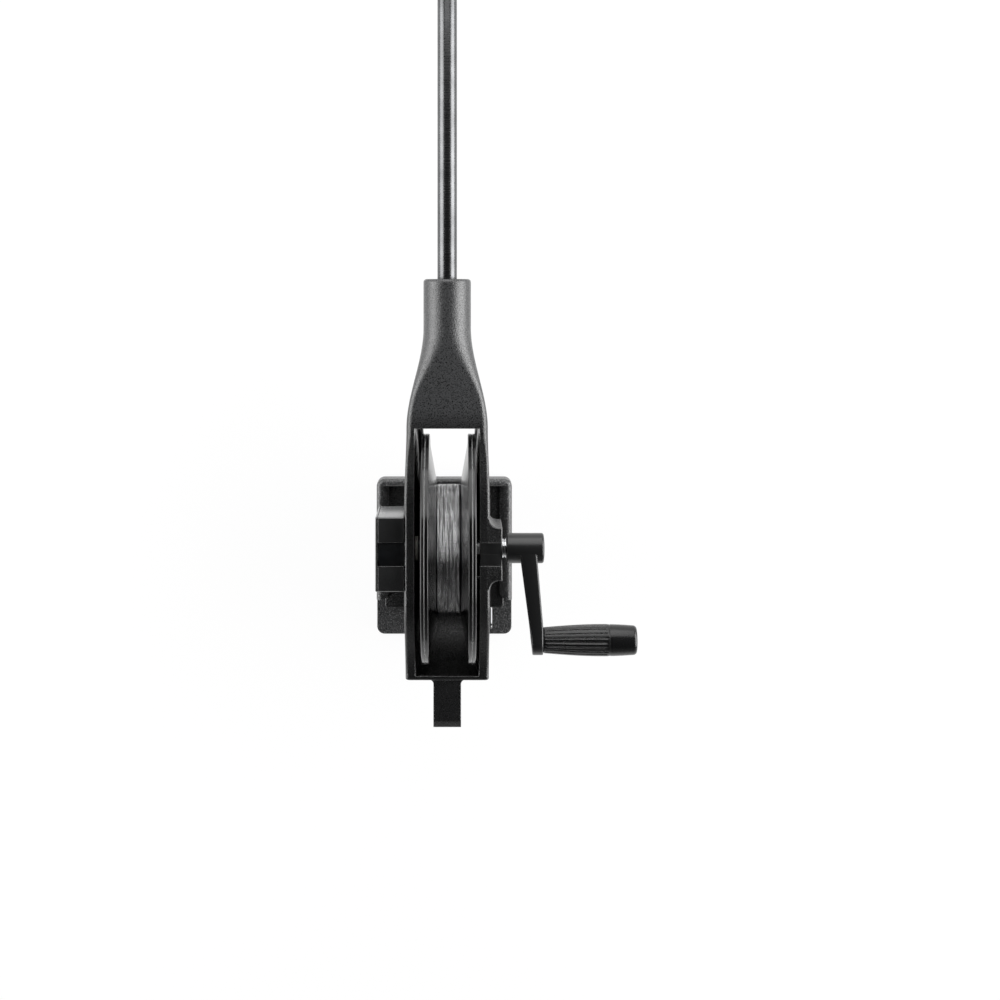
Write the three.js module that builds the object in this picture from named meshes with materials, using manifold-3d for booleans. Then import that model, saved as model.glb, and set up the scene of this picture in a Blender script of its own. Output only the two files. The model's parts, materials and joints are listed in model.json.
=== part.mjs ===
// A compact manual downrigger: a moulded yoke frame that carries a wide cable spool, a long boom
// tube with a swivelling pulley head, a hand crank with a threaded clutch, a line counter on the
// far side, and a railed base that bolts to a deck.
// Millimetres, +X to the crank side, +Y forward along the boom, +Z up. The origin is the middle
// of the base's underside. Everything above the base is drawn from the spool's axis.
import * as THREE from 'three';
import { mergeVertices } from 'three/addons/utils/BufferGeometryUtils.js';
import Module from 'manifold-3d';

const wasm = await Module();
wasm.setup();

// Clearances, and the overrun of every cut
const fit = 0.3;
const overrun = 1;

// Place of the spool's axis over the base, and the room left round the spool
const axleForward = 27.2;
const spoolGap = 5.5;
const frontGap = 6;
const rearGap = 9.7;
const frameShift = 3.6;

// Spool, seen along its axis
const flangeRadius = 113.5;
const flangeRim = 7.4;
const rimDepth = 8.5;
const rimChamfer = 0.8;
const flangeWall = 3.8;
const spoolWidth = 52;
const spoolShift = 1.5;
const windingWidth = 22.7;
const windingRadius = 62.5;
const drumRadius = 47;
const drumWall = 4;
const spoolWeb = 6;
const hubRadius = 14;
const cableDiameter = 0.95;
const cableTurns = 14;

// Shaft, clutch and ratchet
const shaftRadius = 6.35;
const shaftStubRadius = 2.4;
const padRadius = 33;
const padHole = 16;
const padThickness = 2.5;
const plateThickness = 3;
const ratchetRadius = 28;
const ratchetDepth = 2.6;
const ratchetThickness = 4.5;
const ratchetTeeth = 24;
const ratchetRampShare = 0.88;
const ratchetPhaseShare = 0.73;
const sleeveRadius = 8;
const collarRadius = 9.3;
const drivePinRadius = 2;

// Frame: the ring round the spool
const ringWidth = 82.2;
const ringRearWidth = 81.2;
const ringFrontWidth = 78.6;
const bayWidth = 63;
const rearWall = 4.4;
const bayDraft = 3;
const gussetBack = 8;
const gussetDrop = 88;
const ringTop = 41;
const ringTopFlat = 45;
const rearTop = 10;
const guardTurn = 34;
const rimRound = 3;

// Frame: the neck that holds the boom
const neckTip = 263.6;
const neckParallel = 48;
const neckRadius = 23.15;
const boomRise = 8;
const neckRootDrop = 30;
const neckEdge = 3.2;

// Frame: tail tongue, foot and bearing boss
const tailLength = 47.2;
const tailWidth = 27;
const tailThickness = 10;
const tailFillet = 4;
const tailBevelLength = 7;
const tailBevelDrop = 4;
const footThickness = 7.7;
const footWidth = 124;
const bossOut = 52.9;
const bossHalf = 25.4;
const bossFillet = 8.5;
const slotHalf = 11;
const blockNotch = 1.5;
const pocketDepth = 2.5;
const pocketInner = 46;
const pocketOuter = 103;

// Boom tube
const boomRadius = 9.525;
const boomWall = 1.65;
const boomLength = 508;
const socketFloor = 3;

// Base
const baseLength = 164.8;
const baseCorner = 8;
const baseFloor = 9;
const railHeight = 26;
const railWall = 7.7;
const crestOut = 2.5;
const railRound = 4.5;
const lipReach = 5.2;
const lipEdge = 2.6;
const grooveGap = 1;
const frontWall = 7.3;
const railRear = 43.9;
const footRear = 53.4;
const deckHoleRadius = 3.5;
const deckHoleSink = 6.8;
const deckHoleX = 44;
const deckHoleY = 38;

// Latch in the base's rear window
const windowFront = 52.7;
const windowRear = 77;
const windowHalf = 45.4;
const windowShift = 5;
const latchSideGap = 1.3;
const latchPinRadius = 1.6;
const latchPinRear = 73.2;
const latchPinHeight = 5;
const latchBarrel = 3.4;
const latchPlate = 3.2;
const latchFront = 55.5;
const latchNoseTop = 12.4;
const latchNoseHalf = 22;
const latchNoseDeep = 6;
const latchPinSeat = 8;
const latchNotch = 6;

// Crank and grip
const crankStart = 58.4;
const crankEnd = 95.2;
const crankHubRadius = 14.7;
const crankDome = 1.4;
const crankThrow = 90.2;
const armEndRadius = 14.4;
const armRootIn = 70.4;
const armKneeIn = 80.6;
const armTipIn = 83.5;
const armRootOut = 87;
const armTipOut = 93.6;
const armKnee = 76.4;
const gripLength = 91.4;
const gripInner = 12.45;
const gripBelly = 15.45;
const gripOuter = 13.95;
const gripBellyAt = 57.5;
const gripFluteEnd = 63;
const gripChamfer = 2.2;
const fluteCount = 20;
const fluteDepth = 0.8;
const spindleRadius = 4;
const spindleHead = 6.5;
const spindleHeadLength = 4;
const gripCapRadius = 10;
const gripCapThickness = 2.4;

// Line counter
const counterOut = 68.7;
const counterHalf = 36;
const counterWall = 2.5;
const coverThickness = 2.2;
const coverScrewRadius = 1.4;
const coverScrewLength = 12;
const coverHeadRadius = 3;
const coverHeadHeight = 1.1;
const screwInset = 5.5;
const screwPost = 3.8;
const lensHalf = 11;
const lensDepth = 3;
const lensCrown = 1.5;
const wheelAxisUp = 23;
const wheelRadius = 14;
const wheelWidth = 4.6;
const gearWidth = 3;
const gearModule = 0.8;
const pinionTeeth = 10;
const idlerTeeth = 40;
const wheelGearTeeth = 25;
const gearBacklash = 0.34;
const gearAddendumShare = 0.82;
const gearDedendumShare = 1.12;
const counterPinRadius = 1.5;

// Boom head and its pulley
const headSleeveLength = 44;
const headSleeveRadius = 14;
const headGap = 16;
const cheekThickness = 4;
const pulleyRadius = 25;
const pulleyWidth = 11;
const pulleyForward = 40;
const pulleyRise = 9;
const pulleyPinRadius = 3;
const grooveDepth = 6;
const headTail = 15;

// Angles, in degrees from forward over the top, between which each pocket lies
const pocketDegreesShares = [[188, 213], [218, 243], [248, 279]];

// Bush, washer, pawl and its spring
const bushRadius = 8.6;
const bushFlange = 12;
const bushFlangeThickness = 2.6;
const bushWall = 1.5;
const spotGap = 1.2;
const washerThickness = 3;
const pawlPinRadius = 1.8;
const pawlPinSeat = 5;
const pawlPivot = 37.4;
const pawlLeanDegrees = 40;
const pawlTipBack = 14;
const pawlLift = 0.8;
const pawlBarrel = 3.4;
const pawlSpringWire = 0.5;
const pawlSpringTurns = 4;
const pawlSpringPitch = 1.6;

// Screws, bolts and the drive pin
const boltRadius = 2;
const boltHeadRadius = 4;
const boltHeadHeight = 3;
const boltReach = 9;
const counterBoltY = [-26, 26];
const boomScrewRadius = 2.5;
const boomScrewHead = 4.5;
const boomScrewSink = 5;
const boomScrewAt = 190;
const headScrewRadius = 2;
const headScrewTop = 1.6;
const nutHeight = 3.2;
const drivePinAt = -13;

// Straight steps in one turn of the cable
const loopSteps = 24;

// Places that follow from the sizes above
const bayHalf = bayWidth / 2;
const grooveHalf = footWidth / 2 + grooveGap;
const lipTip = grooveHalf - lipReach;
const railCrest = grooveHalf + crestOut;
const baseWidth = 2 * (grooveHalf + railWall);
const ringHalf = ringWidth / 2;
const axleHeight = baseFloor + fit + footThickness + spoolGap + flangeRadius;
const crossbarFace = flangeRadius + frontGap;
const bayRear = flangeRadius + rearGap;
const rearFace = bayRear + rearWall;
const tailEnd = rearFace + tailLength;
const footTop = baseFloor + fit + footThickness - axleHeight;
const footBottom = baseFloor + fit - axleHeight;
const footFront = baseLength / 2 - frontWall - fit - axleForward;
const footRearAt = -footRear - axleForward;
const webRight = spoolShift + spoolWeb / 2;

// Closed meshes and boolean work

function facingOut(geometry) {
  const bare = geometry.index ? geometry.toNonIndexed() : geometry.clone();
  bare.deleteAttribute('normal');
  bare.deleteAttribute('uv');
  const merged = mergeVertices(bare, 1e-4);
  const place = merged.attributes.position;
  const corners = [new THREE.Vector3(), new THREE.Vector3(), new THREE.Vector3()];
  const kept = [];
  let volume = 0;
  for (let i = 0; i < merged.index.count; i += 3) {
    const triangle = [0, 1, 2].map((k) => merged.index.getX(i + k));
    if (new Set(triangle).size < 3) continue;
    triangle.forEach((index, k) => corners[k].fromBufferAttribute(place, index));
    volume += corners[0].dot(corners[1].clone().cross(corners[2]));
    kept.push(...triangle);
  }
  if (volume < 0) kept.reverse();
  merged.setIndex(kept);
  return merged;
}

function solid(geometry) {
  const closed = facingOut(geometry);
  return new wasm.Manifold(new wasm.Mesh({
    numProp: 3,
    vertProperties: new Float32Array(closed.attributes.position.array),
    triVerts: new Uint32Array(closed.index.array),
  }));
}

function geometryOf(body) {
  const mesh = body.getMesh();
  const geometry = new THREE.BufferGeometry();
  geometry.setAttribute('position', new THREE.BufferAttribute(new Float32Array(mesh.vertProperties), 3));
  geometry.setIndex(new THREE.BufferAttribute(new Uint32Array(mesh.triVerts), 1));
  geometry.computeVertexNormals();
  return geometry;
}

const join = (...bodies) => bodies.reduce((sum, body) => sum.add(body));
const cut = (body, ...tools) => tools.reduce((rest, tool) => rest.subtract(tool), body);

// Shapes: an outline drawn in one plane and carried along the third axis

const axes = {
  x: new THREE.Matrix4().makeBasis(
    new THREE.Vector3(0, 1, 0), new THREE.Vector3(0, 0, 1), new THREE.Vector3(1, 0, 0)),
  y: new THREE.Matrix4().makeBasis(
    new THREE.Vector3(0, 0, 1), new THREE.Vector3(1, 0, 0), new THREE.Vector3(0, 1, 0)),
  z: new THREE.Matrix4(),
};

// The outline's two coordinates are (y, z) along x, (z, x) along y and (x, y) along z.
function prism(axis, shape, from, to, curveSegments = 10) {
  const geometry = new THREE.ExtrudeGeometry(shape,
    { depth: to - from, bevelEnabled: false, curveSegments });
  geometry.translate(0, 0, from);
  geometry.applyMatrix4(axes[axis]);
  return solid(geometry);
}

function outline(points) {
  return new THREE.Shape(points.map(([u, v]) => new THREE.Vector2(u, v)));
}

function block(x0, x1, y0, y1, z0, z1) {
  const geometry = new THREE.BoxGeometry(x1 - x0, y1 - y0, z1 - z0);
  geometry.translate((x0 + x1) / 2, (y0 + y1) / 2, (z0 + z1) / 2);
  return solid(geometry);
}

function roundedRect(halfU, halfV, radius) {
  const shape = new THREE.Shape();
  shape.moveTo(halfU, radius - halfV);
  shape.absarc(halfU - radius, halfV - radius, radius, 0, Math.PI / 2);
  shape.absarc(radius - halfU, halfV - radius, radius, Math.PI / 2, Math.PI);
  shape.absarc(radius - halfU, radius - halfV, radius, Math.PI, 1.5 * Math.PI);
  shape.absarc(halfU - radius, radius - halfV, radius, 1.5 * Math.PI, 2 * Math.PI);
  return shape;
}

// A bar with a half-round lower end on the axis (0, 0) and a square upper end, in (y, z)
function tombstone(half, top) {
  const shape = new THREE.Shape();
  shape.moveTo(half, top);
  shape.lineTo(-half, top);
  shape.absarc(0, 0, half, Math.PI, 2 * Math.PI);
  return shape;
}

// A round part turned about a line along x. Points are [x, radius] and close on themselves.
function turnedGeometry(points, segments, y = 0, z = 0) {
  const profile = points.map(([along, radius]) => new THREE.Vector2(radius, along));
  profile.push(profile[0].clone());
  const geometry = new THREE.LatheGeometry(profile, segments);
  geometry.rotateZ(-Math.PI / 2);
  geometry.translate(0, y, z);
  return geometry;
}

function turned(points, segments = 24, y = 0, z = 0) {
  return solid(turnedGeometry(points, segments, y, z));
}

function rod(radius, x0, x1, y = 0, z = 0, segments = 20) {
  return turned([[x0, 0], [x1, 0], [x1, radius], [x0, radius]], segments, y, z);
}

function ring(inner, outer, x0, x1, y = 0, z = 0, segments = 32) {
  return turned([[x0, inner], [x1, inner], [x1, outer], [x0, outer]], segments, y, z);
}

// A closed skin through loops of equally many points, with both ends capped
function loft(loops) {
  const count = loops[0].length;
  const points = loops.flat();
  const faces = [];
  for (let i = 0; i + 1 < loops.length; i += 1) {
    for (let k = 0; k < count; k += 1) {
      const next = (k + 1) % count;
      const [a, b, c, d] = [i * count + k, i * count + next, (i + 1) * count + next, (i + 1) * count + k];
      faces.push(a, b, c, a, c, d);
    }
  }
  const last = (loops.length - 1) * count;
  for (let k = 1; k + 1 < count; k += 1) {
    faces.push(0, k + 1, k, last, last + k, last + k + 1);
  }
  const geometry = new THREE.BufferGeometry();
  geometry.setAttribute('position', new THREE.Float32BufferAttribute(points.flat(), 3));
  geometry.setIndex(faces);
  return geometry;
}

// Materials

function finish(color, roughness, metalness = 0) {
  return new THREE.MeshStandardMaterial({ color, roughness, metalness });
}

const filledNylon = finish(0x2b2c2d, 0.62);
const smoothNylon = finish(0x343536, 0.48);
const glossBlack = finish(0x0c0c0d, 0.16);
const tubeSteel = finish(0x8d9092, 0.22, 1);
const brightSteel = finish(0xc9cbcc, 0.28, 1);
const cableSteel = finish(0xa3a5a6, 0.38, 1);
const gripRubber = finish(0x303132, 0.55);
const frictionFibre = finish(0x5b4a38, 0.85);
const acetal = finish(0xe6e4dc, 0.5);
const digitBlack = finish(0x161617, 0.45);
const lensSmoke = finish(0x1a1c1e, 0.06);
const bronze = finish(0x9a7a4a, 0.4, 1);

function piece(name, body, material) {
  const mesh = new THREE.Mesh(body.isBufferGeometry ? body : geometryOf(body), material);
  mesh.name = name;
  return mesh;
}

// Base: floor, raised rails with lips over the foot, front wall, latch window

function mountBase() {
  const plan = roundedRect(baseWidth / 2 - railRound, baseLength / 2 - railRound, baseCorner - railRound);
  const rimmed = new THREE.ExtrudeGeometry(plan, {
    depth: railHeight, bevelSize: railRound, bevelThickness: railRound, bevelSegments: 4, curveSegments: 5,
  });
  rimmed.translate(0, 0, -railRound);
  const body = cut(solid(rimmed), block(-baseWidth, baseWidth, -baseLength, baseLength, -railHeight, 0));
  const lipUnder = baseFloor + fit + footThickness + fit;
  const innerFront = baseLength / 2 - frontWall;
  const channel = outline([
    [baseFloor, grooveHalf], [lipUnder, grooveHalf], [lipUnder, lipTip], [lipUnder + lipEdge, lipTip],
    [railHeight - railRound / 3, grooveHalf], [railHeight + overrun, railCrest],
    [railHeight + overrun, -railCrest], [railHeight - railRound / 3, -grooveHalf],
    [lipUnder + lipEdge, -lipTip], [lipUnder, -lipTip], [lipUnder, -grooveHalf], [baseFloor, -grooveHalf],
  ]);
  const tools = [
    prism('y', channel, -baseLength, innerFront),
    block(-baseWidth, baseWidth, -baseLength, -railRear, baseFloor, railHeight + overrun),
    block(windowShift - windowHalf, windowShift + windowHalf, -windowRear, -windowFront, -overrun,
      railHeight),
    rod(latchPinRadius + fit, windowShift - windowHalf - latchPinSeat,
      windowShift + windowHalf + latchPinSeat,
      -latchPinRear, latchPinHeight, 16),
  ];
  for (const x of [-deckHoleX, deckHoleX]) {
    for (const y of [-deckHoleY, deckHoleY]) {
      const hole = new THREE.CylinderGeometry(deckHoleRadius, deckHoleRadius, railHeight, 20);
      const sink = new THREE.CylinderGeometry(deckHoleSink, deckHoleRadius, deckHoleSink - deckHoleRadius,
        20);
      sink.translate(0, (deckHoleRadius - deckHoleSink) / 2 + baseFloor, 0);
      for (const drill of [hole, sink]) {
        drill.rotateX(Math.PI / 2);
        drill.translate(x, y, 0);
        tools.push(solid(drill));
      }
    }
  }
  return cut(body, ...tools);
}

// Latch: a lever across the window, with a nose behind the foot

function latchLever() {
  const plateTop = latchPinHeight + latchPlate / 2;
  const plateLow = latchPinHeight - latchPlate / 2;
  const lever = outline([[-latchPinRear, plateLow], [-latchFront, plateLow], [-latchFront, plateTop],
    [-latchPinRear, plateTop]]);
  const nose = outline([[-latchFront - latchNoseDeep, plateLow], [-latchFront + 2 * fit, plateLow],
    [-latchFront + 2 * fit, latchNoseTop], [-latchFront - latchNoseDeep / 2, latchNoseTop]]);
  const half = windowHalf - latchSideGap;
  const at = (side) => windowShift + side * half;
  return cut(
    join(prism('x', lever, at(-1), at(1)),
      rod(latchBarrel, at(-1), at(1), -latchPinRear, latchPinHeight, 20),
      prism('x', nose, windowShift - latchNoseHalf, windowShift + latchNoseHalf)),
    rod(latchPinRadius + fit, at(-1) - overrun, at(1) + overrun, -latchPinRear, latchPinHeight, 20),
    block(windowShift - latchNotch, windowShift + latchNotch, -windowRear,
      -latchPinRear + latchBarrel + overrun,
      -overrun, latchNoseTop),
  );
}

// A round wire bent to a close coil about a line along x, as one tube with straight ends
function coil(radius, wire, turns, pitch, stepsPerTurn, sides) {
  const steps = turns * stepsPerTurn;
  const loops = [];
  const stub = 2 * wire;
  for (let i = -1; i <= steps + 1; i += 1) {
    const held = Math.min(Math.max(i, 0), steps);
    const angle = (2 * Math.PI * held) / stepsPerTurn;
    const away = (i - held) * stub;
    const along = (pitch * held) / stepsPerTurn;
    const centre = [along, radius * Math.cos(angle) - away * Math.sin(angle),
      radius * Math.sin(angle) + away * Math.cos(angle)];
    const loop = [];
    for (let k = 0; k < sides; k += 1) {
      const turn = (2 * Math.PI * k) / sides;
      loop.push([centre[0] + wire * Math.sin(turn), centre[1] + wire * Math.cos(turn) * Math.cos(angle),
        centre[2] + wire * Math.cos(turn) * Math.sin(angle)]);
    }
    loops.push(loop);
  }
  return { loops, geometry: facingOut(loft(loops)), stepsPerTurn };
}

// The least distance between points of the tube that lie one turn apart
function leastGap({ loops, stepsPerTurn }) {
  let least = Infinity;
  for (let i = 0; i + stepsPerTurn < loops.length; i += 1) {
    for (const a of loops[i]) {
      for (const b of loops[i + stepsPerTurn]) {
        least = Math.min(least, Math.hypot(a[0] - b[0], a[1] - b[1], a[2] - b[2]));
      }
    }
  }
  return least;
}

// Frame

const smooth = (t) => {
  const held = Math.min(Math.max(t, 0), 1);
  return held * held * (3 - 2 * held);
};
const blend = (a, b, t) => a + (b - a) * smooth(t);

// A loop round one cross-section of the frame: a rectangle with corners of the given radius
function section(y, half, low, high, radius, cornerSteps) {
  const loop = [];
  const corners = [[half - radius, high - radius], [radius - half, high - radius],
    [radius - half, low + radius], [half - radius, low + radius]];
  corners.forEach(([x, z], quarter) => {
    for (let k = 0; k <= cornerSteps; k += 1) {
      const angle = (Math.PI / 2) * (quarter + k / cornerSteps);
      loop.push([x + radius * Math.cos(angle), y, z + radius * Math.sin(angle)]);
    }
  });
  return loop;
}

const neckHigh = boomRise + neckRadius;
const neckLow = boomRise - neckRadius;
const neckShoulder = neckTip - neckParallel;

function neckSection(y, inset = 0) {
  const t = (neckShoulder - y) / (neckShoulder - crossbarFace);
  const half = blend(neckRadius, ringFrontWidth / 2, t) - inset;
  const low = blend(neckLow, -neckRootDrop, t) + inset;
  const radius = blend(neckRadius, 2 * rimRound, t * t) - inset;
  return section(y, half, low, neckHigh - inset, Math.min(radius, (neckHigh - low) / 2 - inset, half), 5);
}

function ringSection(y, inset = 0) {
  const front = (y - ringTopFlat) / (crossbarFace - ringTopFlat);
  const rear = (-ringTopFlat - y) / (rearFace - ringTopFlat);
  const width = y > 0 ? blend(ringWidth, ringFrontWidth, front) : blend(ringWidth, ringRearWidth, rear);
  const half = width / 2;
  const high = y > 0 ? blend(ringTop, neckHigh, front) : blend(ringTop, rearTop, rear);
  return section(y, half - inset, footBottom, high - inset, rimRound, 3);
}

function mainFrame() {
  const neckSteps = 9;
  const neck = [neckSection(neckTip, neckEdge), neckSection(neckTip - 0.3 * neckEdge, 0.3 * neckEdge),
    neckSection(neckTip - neckEdge)];
  for (let i = 0; i <= neckSteps; i += 1) {
    neck.push(neckSection(neckShoulder + ((crossbarFace - rimRound - neckShoulder) * i) / neckSteps));
  }
  const ringSteps = 12;
  const ringLoops = [];
  for (let i = 0; i <= ringSteps; i += 1) {
    ringLoops.push(ringSection(crossbarFace + rimRound
      - ((crossbarFace + rearFace) * i) / ringSteps));
  }
  ringLoops.push(ringSection(-rearFace + rimRound / 3, rimRound / 8), ringSection(-rearFace, rimRound));

  // Side view of everything below the neck: guard behind the spool, foot, leg and deep gusset
  const side = new THREE.Shape();
  side.moveTo(crossbarFace + rimRound, 2 * ringTop);
  side.lineTo(-2 * rearFace, 2 * ringTop);
  side.lineTo(-2 * rearFace, -guardTurn);
  side.lineTo(-rearFace, -guardTurn);
  side.quadraticCurveTo(-rearFace, footTop + guardTurn / 2, footRearAt, footTop);
  side.lineTo(footRearAt, footBottom);
  side.lineTo(footFront, footBottom);
  side.lineTo(footFront, railHeight + fit - axleHeight);
  side.quadraticCurveTo(crossbarFace - gussetBack, -gussetDrop, crossbarFace + rimRound, -neckRootDrop);
  const yoke = solid(loft(ringLoops)).intersect(prism('x', side, -ringWidth, ringWidth));

  const foot = block(-footWidth / 2 - frameShift, footWidth / 2 - frameShift, footRearAt, footFront,
    footBottom, footTop);

  // Tail tongue with filleted root and bevelled end
  const tailHalf = tailWidth / 2;
  const tailPlan = new THREE.Shape();
  tailPlan.moveTo(tailHalf, -tailEnd);
  tailPlan.lineTo(tailHalf, -rearFace - tailFillet);
  tailPlan.absarc(tailHalf + tailFillet, -rearFace - tailFillet, tailFillet, Math.PI, Math.PI / 2, true);
  tailPlan.lineTo(tailHalf + tailFillet, -rearFace + overrun);
  tailPlan.lineTo(-tailHalf - tailFillet, -rearFace + overrun);
  tailPlan.lineTo(-tailHalf - tailFillet, -rearFace);
  tailPlan.absarc(-tailHalf - tailFillet, -rearFace - tailFillet, tailFillet, Math.PI / 2, 0, true);
  tailPlan.lineTo(-tailHalf, -tailEnd);
  const tailTop = rearTop - rimRound;
  const tailSide = outline([
    [-rearFace + overrun, tailTop], [-tailEnd + tailBevelLength, tailTop],
    [-tailEnd, tailTop - tailBevelDrop], [-tailEnd, tailTop - tailThickness],
    [-rearFace - tailBevelLength, tailTop - tailThickness], [-rearFace + overrun, -guardTurn]]);
  const tail = prism('z', tailPlan, -guardTurn, rearTop).intersect(
    prism('x', tailSide, -tailWidth, tailWidth));

  // Bearing boss on the crank side
  const bossPlan = new THREE.Shape();
  bossPlan.moveTo(bossOut, bossHalf);
  bossPlan.lineTo(ringHalf + bossFillet, bossHalf);
  bossPlan.absarc(ringHalf + bossFillet, bossHalf + bossFillet, bossFillet, 1.5 * Math.PI, Math.PI, true);
  bossPlan.lineTo(ringHalf - overrun, bossHalf + bossFillet);
  bossPlan.lineTo(ringHalf - overrun, -bossHalf - bossFillet);
  bossPlan.lineTo(ringHalf, -bossHalf - bossFillet);
  bossPlan.absarc(ringHalf + bossFillet, -bossHalf - bossFillet, bossFillet, Math.PI, Math.PI / 2, true);
  bossPlan.lineTo(bossOut, -bossHalf);
  const boss = prism('z', bossPlan, -ringTop, ringTop).intersect(
    prism('x', tombstone(bossHalf + bossFillet, ringTop), bayHalf, bossOut));

  // The bay round the spool, open above, and open below in front of the foot
  const bay = new THREE.Shape();
  bay.moveTo(crossbarFace, 2 * ringTop);
  bay.lineTo(-bayRear, 2 * ringTop);
  bay.lineTo(-bayRear, -guardTurn);
  bay.quadraticCurveTo(-bayRear, footTop + guardTurn / 2, footRearAt + (rearFace - bayRear), footTop);
  bay.lineTo(footFront + overrun, footTop);
  bay.lineTo(footFront + overrun, -axleHeight);
  bay.lineTo(crossbarFace, -axleHeight);

  // Its side walls lean inwards as they go down
  const bayFoot = bayHalf - bayDraft;
  const bayFront = outline([[2 * ringTop, bayHalf], [ringTop, bayHalf], [footTop, bayFoot],
    [-axleHeight, bayFoot], [-axleHeight, -bayFoot], [footTop, -bayFoot], [ringTop, -bayHalf],
    [2 * ringTop, -bayHalf]]);

  const tools = [
    prism('x', bay, -bayHalf, bayHalf).intersect(prism('y', bayFront, -rearFace, crossbarFace + overrun)),
    prism('x', tombstone(slotHalf, 2 * ringTop), bayFoot, bossOut + overrun),
    rod(bushRadius + fit, -ringHalf - overrun, -bayFoot),
    rod(bushFlange + spotGap, -bayHalf, -bayFoot),
    leaned(rod(pawlPinRadius + fit, bayFoot, bayHalf + pawlPinSeat, 0, pawlPivot, 16)),
  ];
  for (const y of counterBoltY) {
    tools.push(rod(boltRadius + fit, -ringHalf - overrun, -bayFoot, y, 0, 16));
    tools.push(rod(boltHeadRadius + fit, -bayHalf - boltHeadHeight - fit, -bayFoot, y, 0, 20));
  }
  const socket = new THREE.CylinderGeometry(boomRadius + fit, boomRadius + fit,
    neckTip - crossbarFace, 32);
  socket.translate(0, (neckTip - crossbarFace) / 2 + crossbarFace + socketFloor, boomRise);
  tools.push(solid(socket));
  const screwHole = new THREE.CylinderGeometry(boomScrewRadius + fit, boomScrewRadius + fit,
    2 * neckRadius, 16);
  screwHole.rotateX(Math.PI / 2);
  screwHole.translate(0, boomScrewAt, neckLow);
  tools.push(solid(screwHole));
  const screwSink = new THREE.CylinderGeometry(boomScrewHead + fit, boomScrewHead + fit,
    2 * boomScrewSink, 20);
  screwSink.rotateX(Math.PI / 2);
  screwSink.translate(0, boomScrewAt, neckLow);
  tools.push(solid(screwSink));

  // Shallow pockets between moulded ribs, on both outer faces
  for (const [start, end] of pocketDegreesShares) {
    const sector = new THREE.Shape();
    const [a, b] = [start, end].map(THREE.MathUtils.degToRad);
    sector.absarc(0, 0, pocketOuter, a, b, false);
    sector.absarc(0, 0, pocketInner, b, a, true);
    tools.push(prism('x', sector, ringHalf - pocketDepth, ringHalf + overrun));
    tools.push(prism('x', sector, -ringHalf - overrun, -ringHalf + pocketDepth));
  }
  return cut(join(yoke, solid(loft(neck)), foot, tail, boss), ...tools);
}

// Bearings and the small parts held by the frame

function bearingBlock() {
  const half = slotHalf - fit;
  const top = ringTop - blockNotch;
  const shape = new THREE.Shape();
  shape.moveTo(half, top);
  shape.lineTo(0, top - blockNotch);
  shape.lineTo(-half, top);
  shape.absarc(0, 0, half, Math.PI, 2 * Math.PI);
  return cut(prism('x', shape, bayHalf + fit, bossOut - fit),
    rod(sleeveRadius + fit, bayHalf - overrun, bossOut + overrun));
}

const bushStart = -bayHalf + bushFlangeThickness + fit;
const leftBush = () => turned([
  [-ringHalf + fit, shaftRadius + fit], [bushStart, shaftRadius + fit], [bushStart, bushFlange],
  [-bayHalf + fit, bushFlange], [-bayHalf + fit, bushRadius], [-ringHalf + fit, bushRadius]]);
const washerStart = bushStart + fit;
const spoolHubStart = washerStart + washerThickness + fit;

// Pawl: a small finger on its pin, lifted clear of the ratchet at rest. The pin sits behind the
// bearing block, so everything on it is drawn above the shaft and then leaned back.
const leaned = (body) => body.rotate([pawlLeanDegrees, 0, 0]);
const ratchetStart = webRight + fit + padThickness + fit;
const ratchetEnd = ratchetStart + ratchetThickness;

function pawl() {
  const tipUp = Math.sqrt((ratchetRadius + pawlLift) ** 2 - pawlTipBack ** 2);
  const shape = new THREE.Shape();
  shape.moveTo(0, pawlPivot + pawlBarrel);
  shape.lineTo(-pawlTipBack - pawlLift, tipUp + pawlBarrel);
  shape.lineTo(-pawlTipBack, tipUp);
  shape.lineTo(pawlBarrel / 2, pawlPivot - pawlBarrel);
  shape.absarc(0, pawlPivot, pawlBarrel, -Math.PI / 3, Math.PI / 2, false);
  return cut(prism('x', shape, ratchetStart, ratchetEnd),
    rod(pawlPinRadius + fit, ratchetStart - overrun, ratchetEnd + overrun, 0, pawlPivot, 20));
}

// Spool

function spoolHalfProfile() {
  const side = spoolWidth / 2;
  const inner = side - flangeRim;
  const wind = windingWidth / 2;
  const back = wind + flangeWall;
  return [
    [back, drumRadius - drumWall], [back, windingRadius],
    [inner + flangeWall, flangeRadius - rimDepth - flangeRim],
    [side, flangeRadius - rimDepth], [side, flangeRadius - rimChamfer], [side - rimChamfer, flangeRadius],
    [inner + rimChamfer, flangeRadius], [inner, flangeRadius - rimChamfer],
    [inner, flangeRadius - rimDepth],
    [wind, windingRadius], [wind, drumRadius],
  ];
}

function spoolDrum() {
  const right = spoolHalfProfile();
  const left = right.map(([along, radius]) => [-along, radius]).reverse();
  const web = spoolWeb / 2;
  const points = [[web, shaftRadius + fit], [web, drumRadius - drumWall], ...right, ...left,
    [-web, drumRadius - drumWall], [-web, hubRadius],
    [spoolHubStart - spoolShift, hubRadius], [spoolHubStart - spoolShift, shaftRadius + fit]];
  const body = turned(points.map(([along, radius]) => [along + spoolShift, radius]), 48);
  return cut(body, drivePinHole());
}

function upright(radius, x, y, z0, z1, segments = 16) {
  const geometry = new THREE.CylinderGeometry(radius, radius, z1 - z0, segments);
  geometry.rotateX(Math.PI / 2);
  geometry.translate(x, y, (z0 + z1) / 2);
  return solid(geometry);
}

const drivePinHole = () => upright(drivePinRadius + fit, drivePinAt, 0, -hubRadius - overrun,
  hubRadius + overrun);
const drivePin = () => upright(drivePinRadius, drivePinAt, 0, -hubRadius, hubRadius);

const cableHelix = windingRadius - cableDiameter / 2;

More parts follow.
